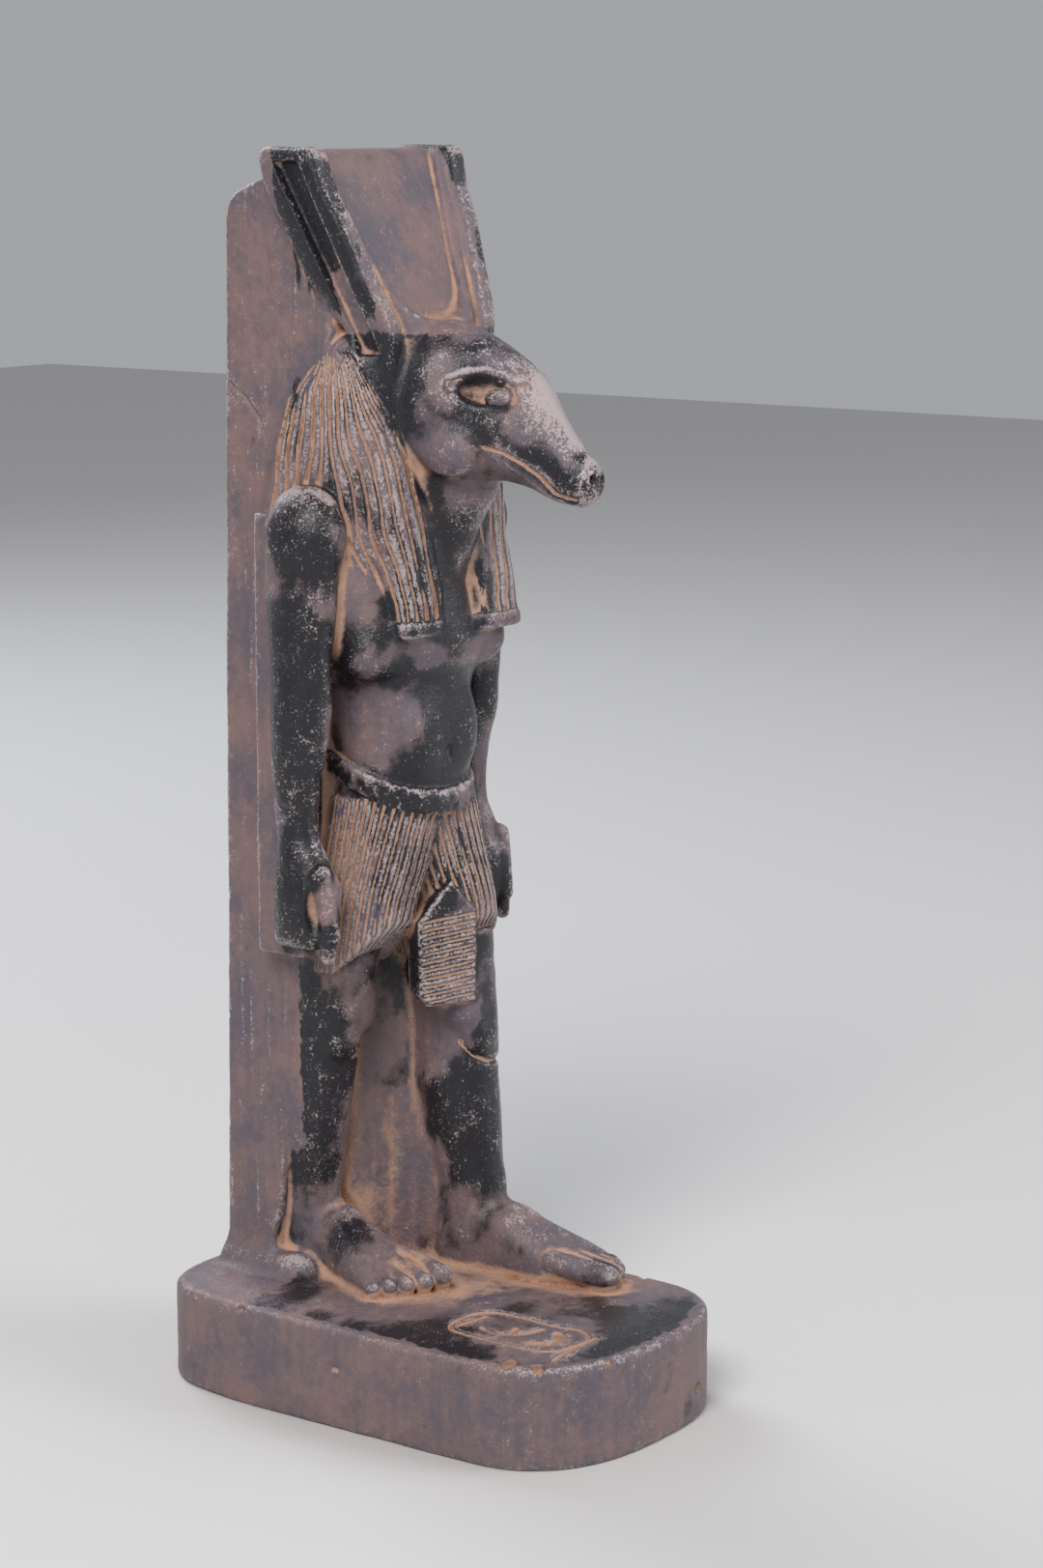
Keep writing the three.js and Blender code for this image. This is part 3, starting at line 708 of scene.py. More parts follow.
@dataclass
class Body:
    """Bare chest and belly, and the arms that hang to closed hands."""

    torso: Sequence[Station] = (
        (0, 25, 158, 21, 18, 2.2), (0, 24.5, 172, 21.5, 19.5, 2.2), (0, 24, 184, 21, 20, 2.2),
        (0, 24.2, 196, 21.6, 20.2, 2.2), (0.4, 24.8, 204, 24, 21, 2.2), (1, 25.4, 210.5, 29, 24.4, 2.1),
        (1.2, 25.8, 216, 32, 25.8, 2.2), (0.6, 28, 228, 33.5, 25, 2.3), (0, 30, 239, 34, 19.5, 2.4),
        (0, 31.5, 249, 33, 14.5, 2.3), (0, 32, 257, 25, 9, 2),
    )
    arm: Sequence[Station] = (
        (-37, 27.2, 130.5, 5.4, 8.2, 2.8), (-37, 26, 136, 6.6, 9.7, 2.6), (-37, 25.6, 146, 7, 9.9, 2.4),
        (-37, 27.2, 155, 5.9, 7.8, 2.2), (-37, 29, 163, 5.2, 6.1, 2.1), (-37, 29.4, 175, 5.8, 6.8, 2.1),
        (-37, 27.8, 192, 6.9, 8.8, 2.1), (-36.8, 27.3, 212, 7.1, 9.5, 2.1), (-35.8, 27.8, 232, 8.2, 11.2, 2),
        (-34.8, 27.6, 246, 9, 11.6, 2), (-33.5, 27.5, 254, 7.6, 9.6, 2), (-32, 28, 259, 4, 5, 2),
    )
    left_arm_forward: float = -2.4
    navel: Sequence[float] = (0.0, 3.4, 182.6)

    def skin(self, points: Points) -> Values:
        """The soft unevenness of the worked skin."""
        return 0.22 * GRAIN.at(points, 5.5)

    def steps(self) -> list[Step]:
        """The body's forms in working order."""
        made = [Step(Loft(self.torso, round_end=3), reach=3.0, relief=self.skin)]
        fill = ((31, 126), (47, 126), (47, 250), (33, 250))
        made.append(Step(Board(fill, -33.5, 33.5), reach=3.0))
        made += [
            Step(Lump((-19.5, 15.4, 214.6), (11.5, 9.4, 9.4), lean=0.45), reach=3.0),
            Step(Lump((17.5, 10.6, 214.4), (11.0, 9.6, 9.0), lean=-0.45), reach=3.0),
            Step(Lump((-8.0, 8.0, 188.0), (7.5, 4.5, 12.0)), reach=3.0),
            Step(Lump((8.0, 8.0, 188.0), (7.5, 4.5, 12.0)), reach=3.0),
            Step(Lump(self.navel, (1.0, 2.0, 2.6)), reach=1.0, work=Work.CUT),
        ]
        for side in Side:
            shift = (0.0, self.left_arm_forward if side is Side.LEFT else 0.0, 0.0)
            flip = side is Side.LEFT
            x = side.value
            dy = shift[1]
            made += [
                Step(Loft(self.arm, round_end=3.0, flip=flip, shift=shift), reach=2.2, relief=self.skin),
                Step(Lump((x * 35.2, 26.6 + dy, 245.0), (9.2, 11.4, 11.6)), reach=3.0),
                Step(Lump((x * 42.3, 18.8 + dy, 142.4), (2.6, 3.2, 6.6)), reach=1.0, work=Work.CUT),
                Step(Rod((x * 39.5, 19.0 + dy, 152.0), (x * 38.4, 16.0 + dy, 135.0), 2.9, 2.3), reach=1.2),
                Step(Rod((x * 38.6, 16.8 + dy, 138.0), (x * 38.6, 17.2 + dy, 129.0), 2.2, 2.0), reach=0.7),
            ]
        return made


@dataclass
class Kilt:
    """The pleated kilt in two wraps, with its belt and the stiff ribbed tab in front."""

    right: Sequence[Station] = (
        (-13.5, 30.5, 120.5, 13.4, 17.2, 2.3), (-12, 29, 139, 13.8, 18.4, 2.3), (-9.5, 27, 153, 14.8, 19.4, 2.3),
        (-5, 25, 171, 17.2, 20, 2.3),
    )
    left: Sequence[Station] = (
        (14, 16, 121, 12.6, 16.2, 2.1), (12.5, 18.2, 138, 13.2, 17.6, 2.2), (9.5, 21.5, 153, 14.6, 18.8, 2.3),
        (5, 24.5, 171, 17.2, 19.8, 2.3),
    )
    belt: Sequence[Station] = ((0, 24.5, 174.4, 22.7, 21.5, 2.2), (0, 24.5, 181.4, 22.9, 21.7, 2.2))
    belt_dip: float = 0.42
    tab: Sequence[Sequence[float]] = (
        (-8.9, 134.5), (-8.3, 113.0), (-6.0, 109.8), (8.7, 110.2), (8.9, 136.5), (1.2, 146.0),
    )
    tab_at: Sequence[float] = (-0.5, 4.6)
    tab_turn: float = -0.5
    tab_thick: float = 10.0
    rib_pitch: float = 2.35
    rib_slope: float = 0.12
    rib_top: float = 136.5
    pleats: int = 42
    pleat_width: float = 0.66
    pleat_depth: float = 0.9

    def wrap(self, side: Side) -> Loft:
        """One wrap of the kilt."""
        stations = self.right if side is Side.RIGHT else self.left
        return Loft(stations, round_end=1.0, hem_lift=1.0)

    def pleat_lines(self, side: Side) -> Callable[[Points], Values]:
        """Makes the rule for how deep the pleats of one wrap are cut.

        Args:
            side: Which wrap.

        Returns:
            A function from places to depths.
        """
        wrap = self.wrap(side)

        def depth(points: Points) -> Values:
            """How deep the pleats are cut at each place."""
            du, dv, where, _ = wrap.section(points)
            turn = np.arctan2(dv, du) * self.pleats / (2 * math.pi)
            turn = turn + 0.16 * GRAIN.at(points, (12.0, 12.0, 14.0))
            pitch = 2 * math.pi * np.hypot(du, dv) / self.pleats
            away = np.abs(turn - np.round(turn)) * pitch
            gone = step_between(-0.85, -0.5, GRAIN.at(points + 31, (5.0, 5.0, 9.0)))
            return groove(away, self.pleat_width, self.pleat_depth) * (0.4 + 0.6 * gone)

        return depth

    def rib_lines(self, points: Points) -> Values:
        """How deep the grooves between the tab's ribs are cut at each place."""
        board = Board(self.tab, 0.0, self.tab_thick, plane="xz", turn=self.tab_turn, at=self.tab_at)
        along, height, across = board.axes(points)
        count = (height - self.rib_slope * along - 111.6) / self.rib_pitch
        count = count + 0.08 * GRAIN.at(points, 4.0)
        away = np.abs(count - np.round(count)) * self.rib_pitch
        face = step_between(1.6, 0.6, across) * step_between(-8.6, -7.8, along) * step_between(8.7, 8.2, along)
        face = face * step_between(self.rib_top, self.rib_top - 1, height - self.rib_slope * along)
        return groove(away, 0.62, 1.0) * face * (count > -0.4)

    def pecks(self, points: Points) -> Values:
        """The belt's pecked surface."""
        return 0.18 * GRAIN.at(points, 1.3) + 0.12 * GRAIN.at(points, 0.9)

    def steps(self) -> list[Step]:
        """The kilt's forms in working order."""
        board = Board(self.tab, 0.0, self.tab_thick, edge=1.2, plane="xz", turn=self.tab_turn, at=self.tab_at)
        return [
            Step(self.wrap(Side.LEFT), reach=0.8, relief=self.pleat_lines(Side.LEFT)),
            Step(self.wrap(Side.RIGHT), reach=0.8, relief=self.pleat_lines(Side.RIGHT)),
            Step(Loft(self.belt, round_end=1.3, tilt=self.belt_dip), reach=0.8, relief=self.pecks),
            Step(board, reach=0.9, relief=self.rib_lines),
        ]


@dataclass
class Legs:
    """The striding legs, the feet with their toes and the stone left standing between the legs."""

    right: Sequence[Station] = (
        (-14, 44, 26, 8, 10, 2.2), (-14, 44.5, 40, 7.8, 10.4, 2.1), (-15, 43.5, 50, 7.2, 8.8, 2),
        (-15.5, 42.5, 62, 8.2, 9.4, 2), (-16, 41.5, 78, 9.8, 11, 2), (-16, 40.5, 88, 10, 11.6, 2),
        (-16, 38.5, 99, 10, 11.8, 2.1), (-15.5, 36.5, 110, 11, 12.8, 2.1), (-15, 34, 130, 12, 14, 2.1),
    )
    left: Sequence[Station] = (
        (16, 9, 26, 8, 11, 2.2), (16, 8, 40, 7.8, 11.8, 2.1), (16.5, 8.4, 50, 7.6, 10.4, 2),
        (16.6, 10.8, 62, 8.6, 11, 2), (16.3, 13.2, 78, 10.2, 12.2, 2), (16.3, 14.2, 88, 10.4, 12.4, 2),
        (16, 14, 99, 10.2, 12.2, 2.1), (15, 15, 110, 11, 12.8, 2.1), (14, 16, 130, 11.4, 13.4, 2.1),
    )
    foot: Sequence[Station] = (
        (-12.5, 31.5, 57.5, 3.5, 4.5, 2.2), (-12.8, 34, 53, 6.8, 8, 2.5), (-13.5, 37.5, 43, 8, 12, 2.5),
        (-14, 37.5, 34, 8.4, 11.6, 2.5), (-15.2, 35.8, 26, 9.6, 9, 2.6), (-17, 34, 18, 11, 6.8, 2.7),
        (-18.6, 33, 11, 10.6, 4.4, 2.7), (-19, 32, 7, 8.5, 3, 2.5),
    )
    toes: Sequence[Sequence[float]] = (
        (-26.0, 17.0, 33.4, -29.2, 9.6, 32.3, 2.3), (-22.4, 17.5, 35.0, -26.0, 6.4, 32.6, 2.5),
        (-18.5, 17.5, 36.0, -22.5, 3.2, 32.9, 2.6), (-14.3, 17.5, 37.0, -18.0, 0.4, 33.2, 2.75),
        (-9.2, 16.0, 36.0, -12.0, -0.6, 33.8, 3.7),
    )
    left_shift: Sequence[float] = (2.8, -39.0, 0.0)
    web: Sequence[Sequence[float]] = (
        (-11, 54), (-9, 42), (-5.5, 36.5), (-1, 33), (4, 29.5), (8, 24), (10.5, 17), (12, 12), (20, 12), (22, 54),
    )
    right_knee: Sequence[Sequence[float]] = (
        (-38.0, 97.0), (-35.2, 94.2), (-31.6, 93.4), (-28.6, 95.4), (-27.4, 99.0),
    )
    left_knee: Sequence[Sequence[float]] = ((-0.5, 97.5), (2.6, 93.8), (6.6, 91.8), (10.5, 92.2))

    def knee_lines(self, points: Points) -> Values:
        """The crease under each kneecap."""
        across = 0.595 * points[:, 0] - 0.804 * points[:, 1]
        height = 0.984 * points[:, 2] + 0.179 * (0.804 * points[:, 0] + 0.595 * points[:, 1])
        cut = groove(line_distance(across, height, self.right_knee), 1.3, 0.9) * (points[:, 0] < 0)
        cut += groove(line_distance(across, height, self.left_knee), 1.3, 0.9) * (points[:, 0] > 0)
        return cut + 0.25 * GRAIN.at(points, 5.0)

    def steps(self) -> list[Step]:
        """The legs' forms in working order."""
        made = [
            Step(Board(self.web, 24, 136, edge=2, plane="xy"), reach=2.5),
            Step(Loft(self.right), reach=2.0, relief=self.knee_lines),
            Step(Loft(self.left), reach=2.5, relief=self.knee_lines),
            Step(Lump((-17.6, 29.6, 100.2), (6.4, 4.6, 6.4)), reach=1.6),
            Step(Lump((14.0, 4.4, 99.0), (6.2, 4.2, 6.4)), reach=1.6),
            Step(Lump((-11.0, 28.5, 109.0), (5.0, 5.0, 7.5)), reach=3.0),
            Step(Lump((9.5, 6.5, 107.0), (4.5, 5.0, 6.5)), reach=3.0),
        ]
        for side in Side:
            flip = side is Side.LEFT
            shift = np.array(self.left_shift if flip else (0.0, 0.0, 0.0))
            made.append(Step(Loft(self.foot, axis=1, round_end=2.0, flip=flip, shift=tuple(shift)), reach=2.6))
            for x0, y0, z0, x1, y1, z1, radius in self.toes:
                s = -1 if flip else 1
                start = np.array([s * x0, y0, z0]) + shift
                end = np.array([s * x1, y1, z1]) + shift
                made.append(Step(Rod(tuple(start), tuple(end), radius * 0.95, radius), reach=0.8))
        return made


@dataclass
class Carving:
    """The whole block: all parts worked in order, cut into cells and turned into a mesh."""

    plinth: Plinth = field(default_factory=Plinth)
    strokes: Frame = field(default_factory=Frame)
    slab: BackSlab = field(default_factory=BackSlab)
    ears: Ears = field(default_factory=Ears)
    wig: Wig = field(default_factory=Wig)
    head: Head = field(default_factory=Head)
    body: Body = field(default_factory=Body)
    kilt: Kilt = field(default_factory=Kilt)
    legs: Legs = field(default_factory=Legs)
    cell: float = 0.5
    coarse: int = 3
    margin: float = 7.0
    triangles: int = 194000

    def steps(self) -> list[Step]:
        """Every form of the figure in working order."""
        return [
            *self.slab.steps(), *self.body.steps(), *self.legs.steps(), *self.kilt.steps(),
            *self.wig.steps(), *self.ears.steps(), *self.head.steps(),
        ]

    def distance(self, points: Points) -> Values:
        """Signed distance to the finished block.

        Args:
            points: Places in mm.

        Returns:
            Distances, negative inside the stone.
        """
        total = np.full(len(points), FAR)
        for step in self.steps():
            low, high = step.form.box()
            near = np.all((points > low - self.margin) & (points < high + self.margin), axis=1)
            index = np.flatnonzero(near)
            if not len(index):
                continue
            some = points[index]
            shape = step.form.distance(some)
            if step.relief:
                close = np.abs(shape) < 3.0
                shape[close] += step.relief(some[close])
            if step.work is Work.JOIN:
                total[index] = smooth_join(total[index], shape, step.reach)
            else:
                total[index] = -smooth_join(-total[index], shape, step.reach)
        low, high = self.slab.panel[0][2] - 3, 360
        index = np.flatnonzero((points[:, 2] > low) & (points[:, 2] < high) & (points[:, 1] < 60))
        if len(index):
            hollow = self.slab.field_depth(points[index])
            total[index] = -smooth_join(-total[index], hollow, 3.4)
        index = np.flatnonzero(points[:, 2] < self.plinth.height + 8)
        if len(index):
            some = points[index]
            block = self.plinth.distance(some)
            close = np.abs(block) < 3
            block[close] += self.strokes.lines(some[close]) * (some[close][:, 2] > 20)
            total[index] = smooth_join(total[index], block, 2.2)
        return total

    def roughness(self, points: Points) -> Values:
        """The small unevenness of the whole surface."""
        return 0.10 * GRAIN.at(points, 3.4) + 0.04 * GRAIN.at(points + 5, 1.5)

    def cells(self) -> tuple[np.ndarray, np.ndarray]:
        """Fills the block's cells with distances.

        Returns:
            The cells and the place of the first one, in mm.
        """
        low = np.array([-56.5, -77.5, -1.8])
        high = np.array([47.5, 77.5, 352.0])
        wide = self.cell * self.coarse
        shape = np.ceil((high - low) / wide).astype(int)
        axes = [low[k] + (np.arange(shape[k]) + 0.5) * wide for k in range(3)]
        places = np.stack(np.meshgrid(*axes, indexing="ij"), -1).reshape(-1, 3)
        rough = np.empty(len(places), np.float32)
        batch = 400000
        for start in range(0, len(places), batch):
            rough[start:start + batch] = self.distance(places[start:start + batch])
        rough = rough.reshape(shape)
        fine = rough
        for axis in range(3):
            fine = np.repeat(fine, self.coarse, axis)
        first = low + 0.5 * self.cell
        close = np.flatnonzero(np.abs(fine.ravel()) < wide * 1.25)
        LOG.info("cells %s, of which %d are near the surface", fine.shape, len(close))
        flat = fine.ravel()
        for start in range(0, len(close), batch):
            index = close[start:start + batch]
            place = np.stack(np.unravel_index(index, fine.shape), 1) * self.cell + first
            flat[index] = self.distance(place) + self.roughness(place)
        return flat.reshape(fine.shape), first

    def surface(self) -> tuple[np.ndarray, np.ndarray, np.ndarray, np.ndarray]:
        """Turns the cells into a surface.

        Returns:
            Corner places in mm, four-sided faces, the cells and the first cell's place.
        """
        cells, first = self.cells()
        grid = openvdb.FloatGrid(FAR)
        grid.copyFromArray(cells)
        corners, quads = grid.convertToQuads(0.0)
        places = np.asarray(corners, float) * self.cell + first
        return places, np.asarray(quads), cells, first


class Probe:
    """Reads the filled cells between their centres."""

    def __init__(self, cells: np.ndarray, first: np.ndarray, cell: float) -> None:
        """Keeps the cells and where they are."""
        self.cells, self.first, self.cell = cells, first, cell

    def at(self, places: Points) -> Values:
        """Distances at any places."""
        q = (places - self.first) / self.cell
        top = np.array(self.cells.shape) - 2
        base = np.clip(np.floor(q).astype(int), 0, top)
        t = np.clip(q - base, 0, 1)
        total = np.zeros(len(places))
        for corner in range(8):
            pick = np.array([(corner >> axis) & 1 for axis in range(3)])
            weight = np.prod(np.where(pick, t, 1 - t), axis=1)
            i = base + pick
            total += weight * self.cells[i[:, 0], i[:, 1], i[:, 2]]
        return total

    def shelter(self, places: Points, normals: Points, reach: float) -> Values:
        """How closed in each place is: about 0 on a flat face, above in a hollow, below on an edge."""
        rng = np.random.default_rng(5)
        total = np.zeros(len(places))
        count = 14
        for _ in range(count):
            way = rng.normal(size=3)
            way /= np.linalg.norm(way)
            ahead = np.sign(normals @ way)[:, None] * way
            gap = np.clip(self.at(places + ahead * reach) / reach, -1, 1)
            total += np.abs(normals @ way) - gap
        return total / count


@dataclass
class WearAndEdgeHighlight:
    """Where sand has stayed, where the stone is bare and dark, and where convex edges are rubbed and given a painted
    highlight.
    """

    carving: Carving
    probe: Probe
    patches: Sequence[Patch] = (
        Patch((-1, 34, 62), 20, 1.1, 1.9), Patch((-14, 27, 104), 7, 0.8), Patch((6, 12, 104), 8, 0.6),
        Patch((-20, 14, 192), 11, 0.8, 1.4), Patch((-24, 24, 150), 8, 1.0, 2.2), Patch((-25, 15, 238), 9, 0.8, 1.2),
        Patch((-14, 5, 212), 6, 0.7), Patch((12, 1, 212), 6, 0.6), Patch((-16, 22, 224), 10, 0.5),
        Patch((-20, 8, 31), 20, 0.9), Patch((16, -28, 31), 20, 0.8), Patch((-6, -2, 31), 16, 0.7),
        Patch((-28, 30, 300), 12, 0.6), Patch((-22, 40, 262), 9, 0.5), Patch((0, 8, 300), 12, 0.5),
        Patch((-28, -42, 31), 22, 0.45), Patch((-42.5, 18.5, 142), 5, 1.2), Patch((-38, 30, 252), 7, 0.7),
        Patch((-34, 60, 60), 16, 0.5, 1.6), Patch((2, 8, 176), 9, 0.5), Patch((-20, 31, 118), 7, 0.4),
        Patch((-41, 24, 246), 9, -1.0), Patch((-44, 24, 208), 9, -0.8, 2.0), Patch((-43, 22, 172), 7, -0.9, 2.0),
        Patch((-43, 26, 142), 8, -1.0, 1.3), Patch((-18, 9, 208), 6, -1.1), Patch((2, 4, 190), 10, -0.8, 1.3),
        Patch((-6, 5, 178), 8, -0.7), Patch((-14, 16, 150), 9, -0.6, 1.4), Patch((0, -45, 262), 6, -0.7),
        Patch((16, 0, 76), 12, -0.7, 1.6), Patch((-22, 34, 88), 12, -0.8, 2.2), Patch((-16, 20, 45), 9, -0.5),
        Patch((-14, 3, 234), 8, -0.8, 1.6), Patch((-8, -8, 292), 10, -0.4), Patch((14, -2, 98), 5, -0.8),
        Patch((-35, 30, 330), 9, -0.7, 2.6), Patch((-24, 8, 296), 7, -0.8), Patch((-24, 6, 33), 6, -0.9),
        Patch((-14, -2, 34), 5, -0.9), Patch((15, -36, 35), 6, -0.8), Patch((-17, 30, 92), 6, -0.7),
    )

    def cuts(self, places: Points) -> Values:
        """How deep in a carved line each place lies, from 0 to 1."""
        total = np.zeros(len(places))
        for step in self.carving.steps():
            if step.relief is None or isinstance(step.form, Board) and step.form.plane == "yz":
                continue
            low, high = step.form.box()
            index = np.flatnonzero(np.all((places > low - 1) & (places < high + 1), axis=1))
            if not len(index):
                continue
            some = places[index]
            relief = step.relief(some)
            on = np.abs(step.form.distance(some) + relief) < 0.5
            total[index] = np.maximum(total[index], np.where(on, relief, 0))
        strokes = self.carving.strokes.lines(places) * (places[:, 2] > 27) * (places[:, 2] < 31.5)
        return np.clip(np.maximum(total, strokes) * 1.5 - 0.1, 0, 1)

    def layers(self, places: Points, normals: Points) -> dict[str, Values]:
        """The three layers of the finish.

        Args:
            places: The mesh's corners in mm.
            normals: Their outward directions.

        Returns:
            Values from 0 to 1 for the sand, the bare stone and the convex edges, which carry rubbed wear and a painted
            highlight.
        """
        near = self.probe.shelter(places, normals, 1.6)
        wide = self.probe.shelter(places, normals, 6.0)
        grain = GRAIN.at(places, 7.0) * 0.6 + GRAIN.at(places + 3, 2.3) * 0.4
        patch = np.zeros(len(places))
        for spot in self.patches:
            away = (places - np.array(spot.centre)) / np.array([1, 1, spot.tall])
            patch += spot.amount * np.exp(-((np.linalg.norm(away, axis=1) / spot.radius) ** 2))
        top = step_between(0.55, 0.95, normals[:, 2])
        sand = 0.75 * self.cuts(places) + 1.3 * np.maximum(near, 0) + 1.0 * np.maximum(wide, 0) - 0.22
        sand += 0.5 * patch + 0.2 * top + 0.2 * grain - 1.2 * np.maximum(-near, 0)
        slab = (np.abs(places[:, 0]) > 24.5) & (places[:, 1] > 38) | (places[:, 1] > 60)
        plinth = places[:, 2] < 28.8
        panel = (places[:, 2] > 300) & (np.abs(places[:, 0]) < 26)
        pale = np.where(slab, 0.62, np.where(plinth, 0.5, np.where(panel, 0.62, 0.0)))
        pale = pale + 0.28 * grain
        bare = 0.62 - 0.75 * patch - pale + 0.35 * GRAIN.at(places + 17, 11.0)
        # Convex edges: partly rubbed wear, partly a painted highlight that greys the black stone and adds pale flecks.
        rubbed_and_highlight = 2.2 * np.maximum(-near, 0) + 0.3 * np.maximum(-wide, 0)
        return {"sand": np.clip(sand, 0, 1), "bare": np.clip(bare, 0, 1), "rubbed_and_highlight": np.clip(rubbed_and_highlight, 0, 1)}


@dataclass(frozen=True)
class StoneFinish:
    """Near-black stone, rubbed grey on its faces and given a painted grey highlight on convex edges, with sandy orange
    dust where nothing rubs.
    """

    black: tuple[float, float, float, float] = (0.014, 0.013, 0.018, 1)
    grey: tuple[float, float, float, float] = (0.125, 0.105, 0.130, 1)
    rosy: tuple[float, float, float, float] = (0.24, 0.155, 0.145, 1)
    sand: tuple[float, float, float, float] = (0.50, 0.315, 0.225, 1)
    rust: tuple[float, float, float, float] = (0.30, 0.135, 0.065, 1)
    pale: tuple[float, float, float, float] = (0.42, 0.36, 0.36, 1)

    def build(self) -> bpy.types.Material:
        """Makes the material.

        Returns:
            The stone material.
        """
        material = bpy.data.materials.new("stone")
        material.use_nodes = True
        tree = material.node_tree
        tree.nodes.clear()
        nodes, links = tree.nodes, tree.links
        place = nodes.new("ShaderNodeTexCoord").outputs["Object"]

        def layer(name: str) -> bpy.types.NodeSocket:
            """One layer read from the mesh: sand, bare stone, or rubbed wear with painted edge highlight."""
            node = nodes.new("ShaderNodeAttribute")
            node.attribute_name = name
            return node.outputs["Fac"]

        def noise(scale: float, detail: float = 4.0, rough: float = 0.6, stretch: float = 1.0) -> bpy.types.NodeSocket:
            """Grain about 1/scale metres across."""
            source = place
            if stretch != 1.0:
                mapping = nodes.new("ShaderNodeMapping")
                mapping.inputs["Scale"].default_value = (1, 1, stretch)
                links.new(place, mapping.inputs["Vector"])
                source = mapping.outputs["Vector"]
            node = nodes.new("ShaderNodeTexNoise")
            node.inputs["Scale"].default_value = scale
            node.inputs["Detail"].default_value = detail
            node.inputs["Roughness"].default_value = rough
            links.new(source, node.inputs["Vector"])
            return node.outputs["Fac"]

        def sum_of(*parts: tuple[bpy.types.NodeSocket, float], base: float = 0.0) -> bpy.types.NodeSocket:
            """A weighted sum of values."""
            total = None
            for socket, weight in parts:
                node = nodes.new("ShaderNodeMath")
                node.operation = "MULTIPLY_ADD"
                node.inputs[1].default_value = weight
                node.inputs[2].default_value = base
                links.new(socket, node.inputs[0])
                if total is not None:
                    links.new(total, node.inputs[2])
                total = node.outputs[0]
            return total

        def ramp(value: bpy.types.NodeSocket, low: float, high: float) -> bpy.types.NodeSocket:
            """A smooth rise from 0 at low to 1 at high."""
            node = nodes.new("ShaderNodeMapRange")
            node.interpolation_type = "SMOOTHSTEP"
            node.inputs["From Min"].default_value = low
            node.inputs["From Max"].default_value = high
            links.new(value, node.inputs["Value"])
            return node.outputs["Result"]

        def blend(amount: bpy.types.NodeSocket, a: object, b: object) -> bpy.types.NodeSocket:
            """One colour fading into another."""
            node = nodes.new("ShaderNodeMix")
            node.data_type = "RGBA"
            links.new(amount, node.inputs["Factor"])
            for value, socket in ((a, node.inputs[6]), (b, node.inputs[7])):
                if isinstance(value, tuple):
                    socket.default_value = value
                else:
                    links.new(value, socket)
            return node.outputs[2]

        sand, bare, rubbed_and_highlight = layer("sand"), layer("bare"), layer("rubbed_and_highlight")
        broad = noise(45, 5)
        fine = noise(420, 6, 0.7)
        speck = noise(1500, 3, 0.6)
        streak = noise(300, 4, 0.6, stretch=0.14)
        body = blend(ramp(sum_of((broad, 0.8), (fine, 0.5), (streak, 0.3)), 0.62, 0.98), self.grey, self.rosy)
        # The convex-edge layer lifts the black towards grey here: rubbed wear and painted highlight.
        dark_share = ramp(sum_of((bare, 1.0), (fine, 0.55), (broad, 0.35), (rubbed_and_highlight, -0.8)), 0.72, 1.02)
        body = blend(dark_share, body, self.black)
        # Pale flecks, with more of them on convex edges as part of the painted highlight.
        flecks = ramp(sum_of((speck, 0.7), (fine, 0.5), (rubbed_and_highlight, 0.5)), 0.72, 0.86)
        body = blend(flecks, body, self.pale)
        dust = blend(ramp(sum_of((broad, 0.7), (fine, 0.4)), 0.5, 0.72), self.sand, self.rosy)
        dust = blend(ramp(sum_of((broad, -0.9), (sand, 0.9)), 0.28, 0.6), dust, self.rust)
        dust = blend(ramp(sum_of((speck, 0.8), (fine, 0.4)), 0.55, 0.8), dust, self.sand)
        dust_share = ramp(sum_of((sand, 1.0), (fine, 0.5), (speck, 0.25), (rubbed_and_highlight, -0.3)), 0.62, 1.0)
        colour = blend(dust_share, body, dust)

        shader = nodes.new("ShaderNodeBsdfPrincipled")
        shader.inputs["Specular IOR Level"].default_value = 0.5
        links.new(colour, shader.inputs["Base Color"])
        links.new(ramp(sum_of((dust_share, 0.6), (fine, 0.5), (dark_share, -0.35), base=0.3), 0.0, 1.15),
                  shader.inputs["Roughness"])
        height = sum_of((fine, 0.55), (speck, 0.3), (noise(850, 4, 0.65), 0.5))
        bump = nodes.new("ShaderNodeBump")
        bump.inputs["Strength"].default_value = 0.75
        bump.inputs["Distance"].default_value = 0.0006
        links.new(height, bump.inputs["Height"])
        links.new(bump.outputs["Normal"], shader.inputs["Normal"])
        output = nodes.new("ShaderNodeOutputMaterial")
        links.new(shader.outputs["BSDF"], output.inputs["Surface"])
        return material


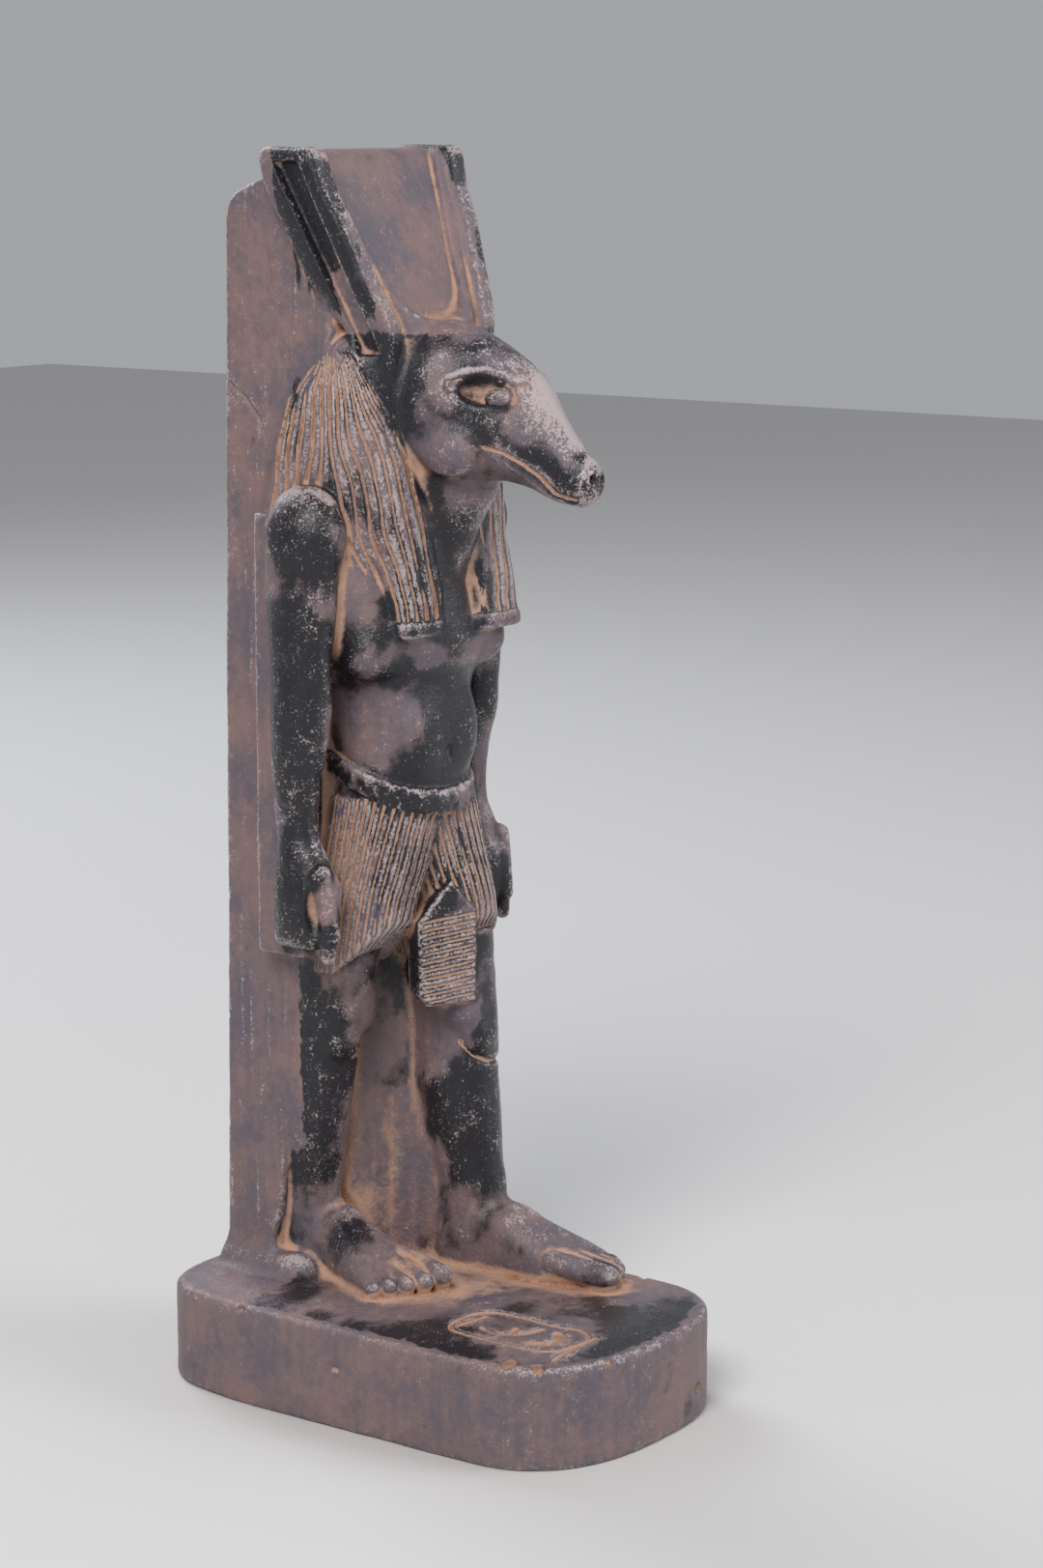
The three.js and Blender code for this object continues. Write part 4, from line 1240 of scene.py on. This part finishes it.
@dataclass
class Statue:
    """The finished piece: the carving's mesh, its layers of wear and painted edge highlight, and its stone finish."""

    carving: Carving = field(default_factory=Carving)
    finish: StoneFinish = field(default_factory=StoneFinish)
    name: str = "statue_carving"

    def build(self) -> bpy.types.Object:
        """Makes the piece and puts it in the frame.

        Returns:
            The piece.
        """
        places, quads, cells, first = self.carving.surface()
        LOG.info("surface has %d corners and %d faces", len(places), len(quads))
        mesh = bpy.data.meshes.new(self.name)
        offset = np.array([FIGURE_X, 0.0, 0.0])
        mesh.from_pydata(((places + offset) * MM).tolist(), [], quads.tolist())
        mesh.update()
        piece = bpy.data.objects.new(self.name, mesh)
        bpy.context.scene.collection.objects.link(piece)
        self.thin(piece)
        self.wear(piece, Probe(cells, first, self.carving.cell))
        piece.data.materials.append(self.finish.build())
        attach(piece, "root")
        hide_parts("seth_statue")
        return piece

    def thin(self, piece: bpy.types.Object) -> None:
        """Takes faces out of the flat places until the piece is within its limit."""
        faces = len(piece.data.polygons) * 2
        thinner = piece.modifiers.new("thin", "DECIMATE")
        thinner.ratio = min(1.0, self.carving.triangles / faces)
        evaluated = piece.evaluated_get(bpy.context.evaluated_depsgraph_get())
        thinned = bpy.data.meshes.new_from_object(evaluated)
        piece.modifiers.clear()
        old = piece.data
        piece.data = thinned
        bpy.data.meshes.remove(old)
        piece.data.name = self.name
        for polygon in piece.data.polygons:
            polygon.use_smooth = True
        LOG.info("thinned from %d to %d triangles", faces, len(piece.data.polygons))

    def wear(self, piece: bpy.types.Object, probe: Probe) -> None:
        """Writes the layers of wear and painted edge highlight on the piece's corners."""
        mesh = piece.data
        count = len(mesh.vertices)
        places = np.empty(count * 3, np.float32)
        mesh.vertices.foreach_get("co", places)
        places = places.reshape(-1, 3) / MM - np.array([FIGURE_X, 0, 0])
        normals = np.empty(count * 3, np.float32)
        mesh.vertices.foreach_get("normal", normals)
        layers = WearAndEdgeHighlight(self.carving, probe).layers(places, normals.reshape(-1, 3))
        for name, values in layers.items():
            layer = mesh.attributes.new(name, "FLOAT", "POINT")
            layer.data.foreach_set("value", values.astype(np.float32))


@dataclass
class Studio:
    """A plain pale floor, soft lamps and the camera at the photograph's angle."""

    camera_at: Sequence[float] = (-0.8254, -0.6352, 0.3639)
    heading: float = 53.51
    pitch: float = 10.29
    focal_pixels: float = 3930.0
    floor_size: float = 6.0
    floor_colour: tuple[float, float, float, float] = (0.62, 0.61, 0.60, 1)

    def camera(self) -> None:
        """Makes the camera."""
        data = bpy.data.cameras.new("camera")
        data.sensor_fit = "VERTICAL"
        data.sensor_height = 36.0
        data.lens = 36.0 * self.focal_pixels / IMAGE_HEIGHT
        data.clip_start, data.clip_end = 0.05, 20
        camera = bpy.data.objects.new("camera", data)
        a, p = math.radians(self.heading), math.radians(self.pitch)
        ahead = Vector((math.sin(a) * math.cos(p), math.cos(a) * math.cos(p), -math.sin(p)))
        right = Vector((math.cos(a), -math.sin(a), 0))
        up = right.cross(ahead)
        turn = Matrix((right, up, -ahead)).transposed()
        camera.matrix_world = Matrix.Translation(self.camera_at) @ turn.to_4x4()
        bpy.context.scene.collection.objects.link(camera)
        bpy.context.scene.camera = camera

    def lamp(self, name: str, at: Sequence[float], size: float, power: float, colour: Sequence[float]) -> None:
        """Makes one soft lamp aimed at the figure.

        Args:
            name: The lamp's name.
            at: Where it hangs, in metres.
            size: The width of its face, in metres.
            power: Its power in watts.
            colour: Its colour.
        """
        data = bpy.data.lights.new(name, "AREA")
        data.shape = "DISK"
        data.size = size
        data.energy = power
        data.color = colour
        lamp = bpy.data.objects.new(name, data)
        lamp.location = at
        lamp.rotation_mode = "QUATERNION"
        lamp.rotation_quaternion = (Vector((0, 0, 0.18)) - Vector(at)).to_track_quat("-Z", "Y")
        bpy.context.scene.collection.objects.link(lamp)

    def floor(self) -> bpy.types.Object:
        """Makes the pale floor."""
        half = self.floor_size / 2
        mesh = bpy.data.meshes.new("floor")
        mesh.from_pydata([(-half, -half, 0), (half, -half, 0), (half, half, 0), (-half, half, 0)], [], [(0, 1, 2, 3)])
        floor = bpy.data.objects.new("floor", mesh)
        bpy.context.scene.collection.objects.link(floor)
        material = bpy.data.materials.new("floor")
        material.use_nodes = True
        shader = material.node_tree.nodes["Principled BSDF"]
        shader.inputs["Base Color"].default_value = self.floor_colour
        shader.inputs["Roughness"].default_value = 0.85
        mesh.materials.append(material)
        return floor

    def build(self) -> None:
        """Sets up the floor, the lamps and the camera."""
        self.floor()
        self.lamp("key", (-1.3, -0.5, 1.5), 0.9, 26, (1.0, 0.97, 0.95))
        self.lamp("fill", (0.9, -1.5, 0.9), 1.3, 13, (0.93, 0.95, 1.0))
        self.lamp("rim", (0.5, 1.4, 1.2), 0.9, 12, (0.9, 0.94, 1.0))
        world = bpy.data.worlds.new("studio")
        world.use_nodes = True
        world.node_tree.nodes["Background"].inputs["Color"].default_value = (0.8, 0.82, 0.86, 1)
        world.node_tree.nodes["Background"].inputs["Strength"].default_value = 0.45
        bpy.context.scene.world = world
        bpy.context.scene.view_settings.view_transform = "Standard"
        self.camera()


def main() -> None:
    """Builds the statue and the studio."""
    logging.basicConfig(level=logging.INFO, format="%(message)s")
    carving = Carving(cell=0.5)
    piece = Statue(carving).build()
    LOG.info("%s: %d triangles", piece.name, len(piece.data.polygons))
    Studio().build()
    LOG.info("studio: floor, three lamps and camera")
    bpy.context.view_layer.update()


if __name__ == "__main__":
    main()
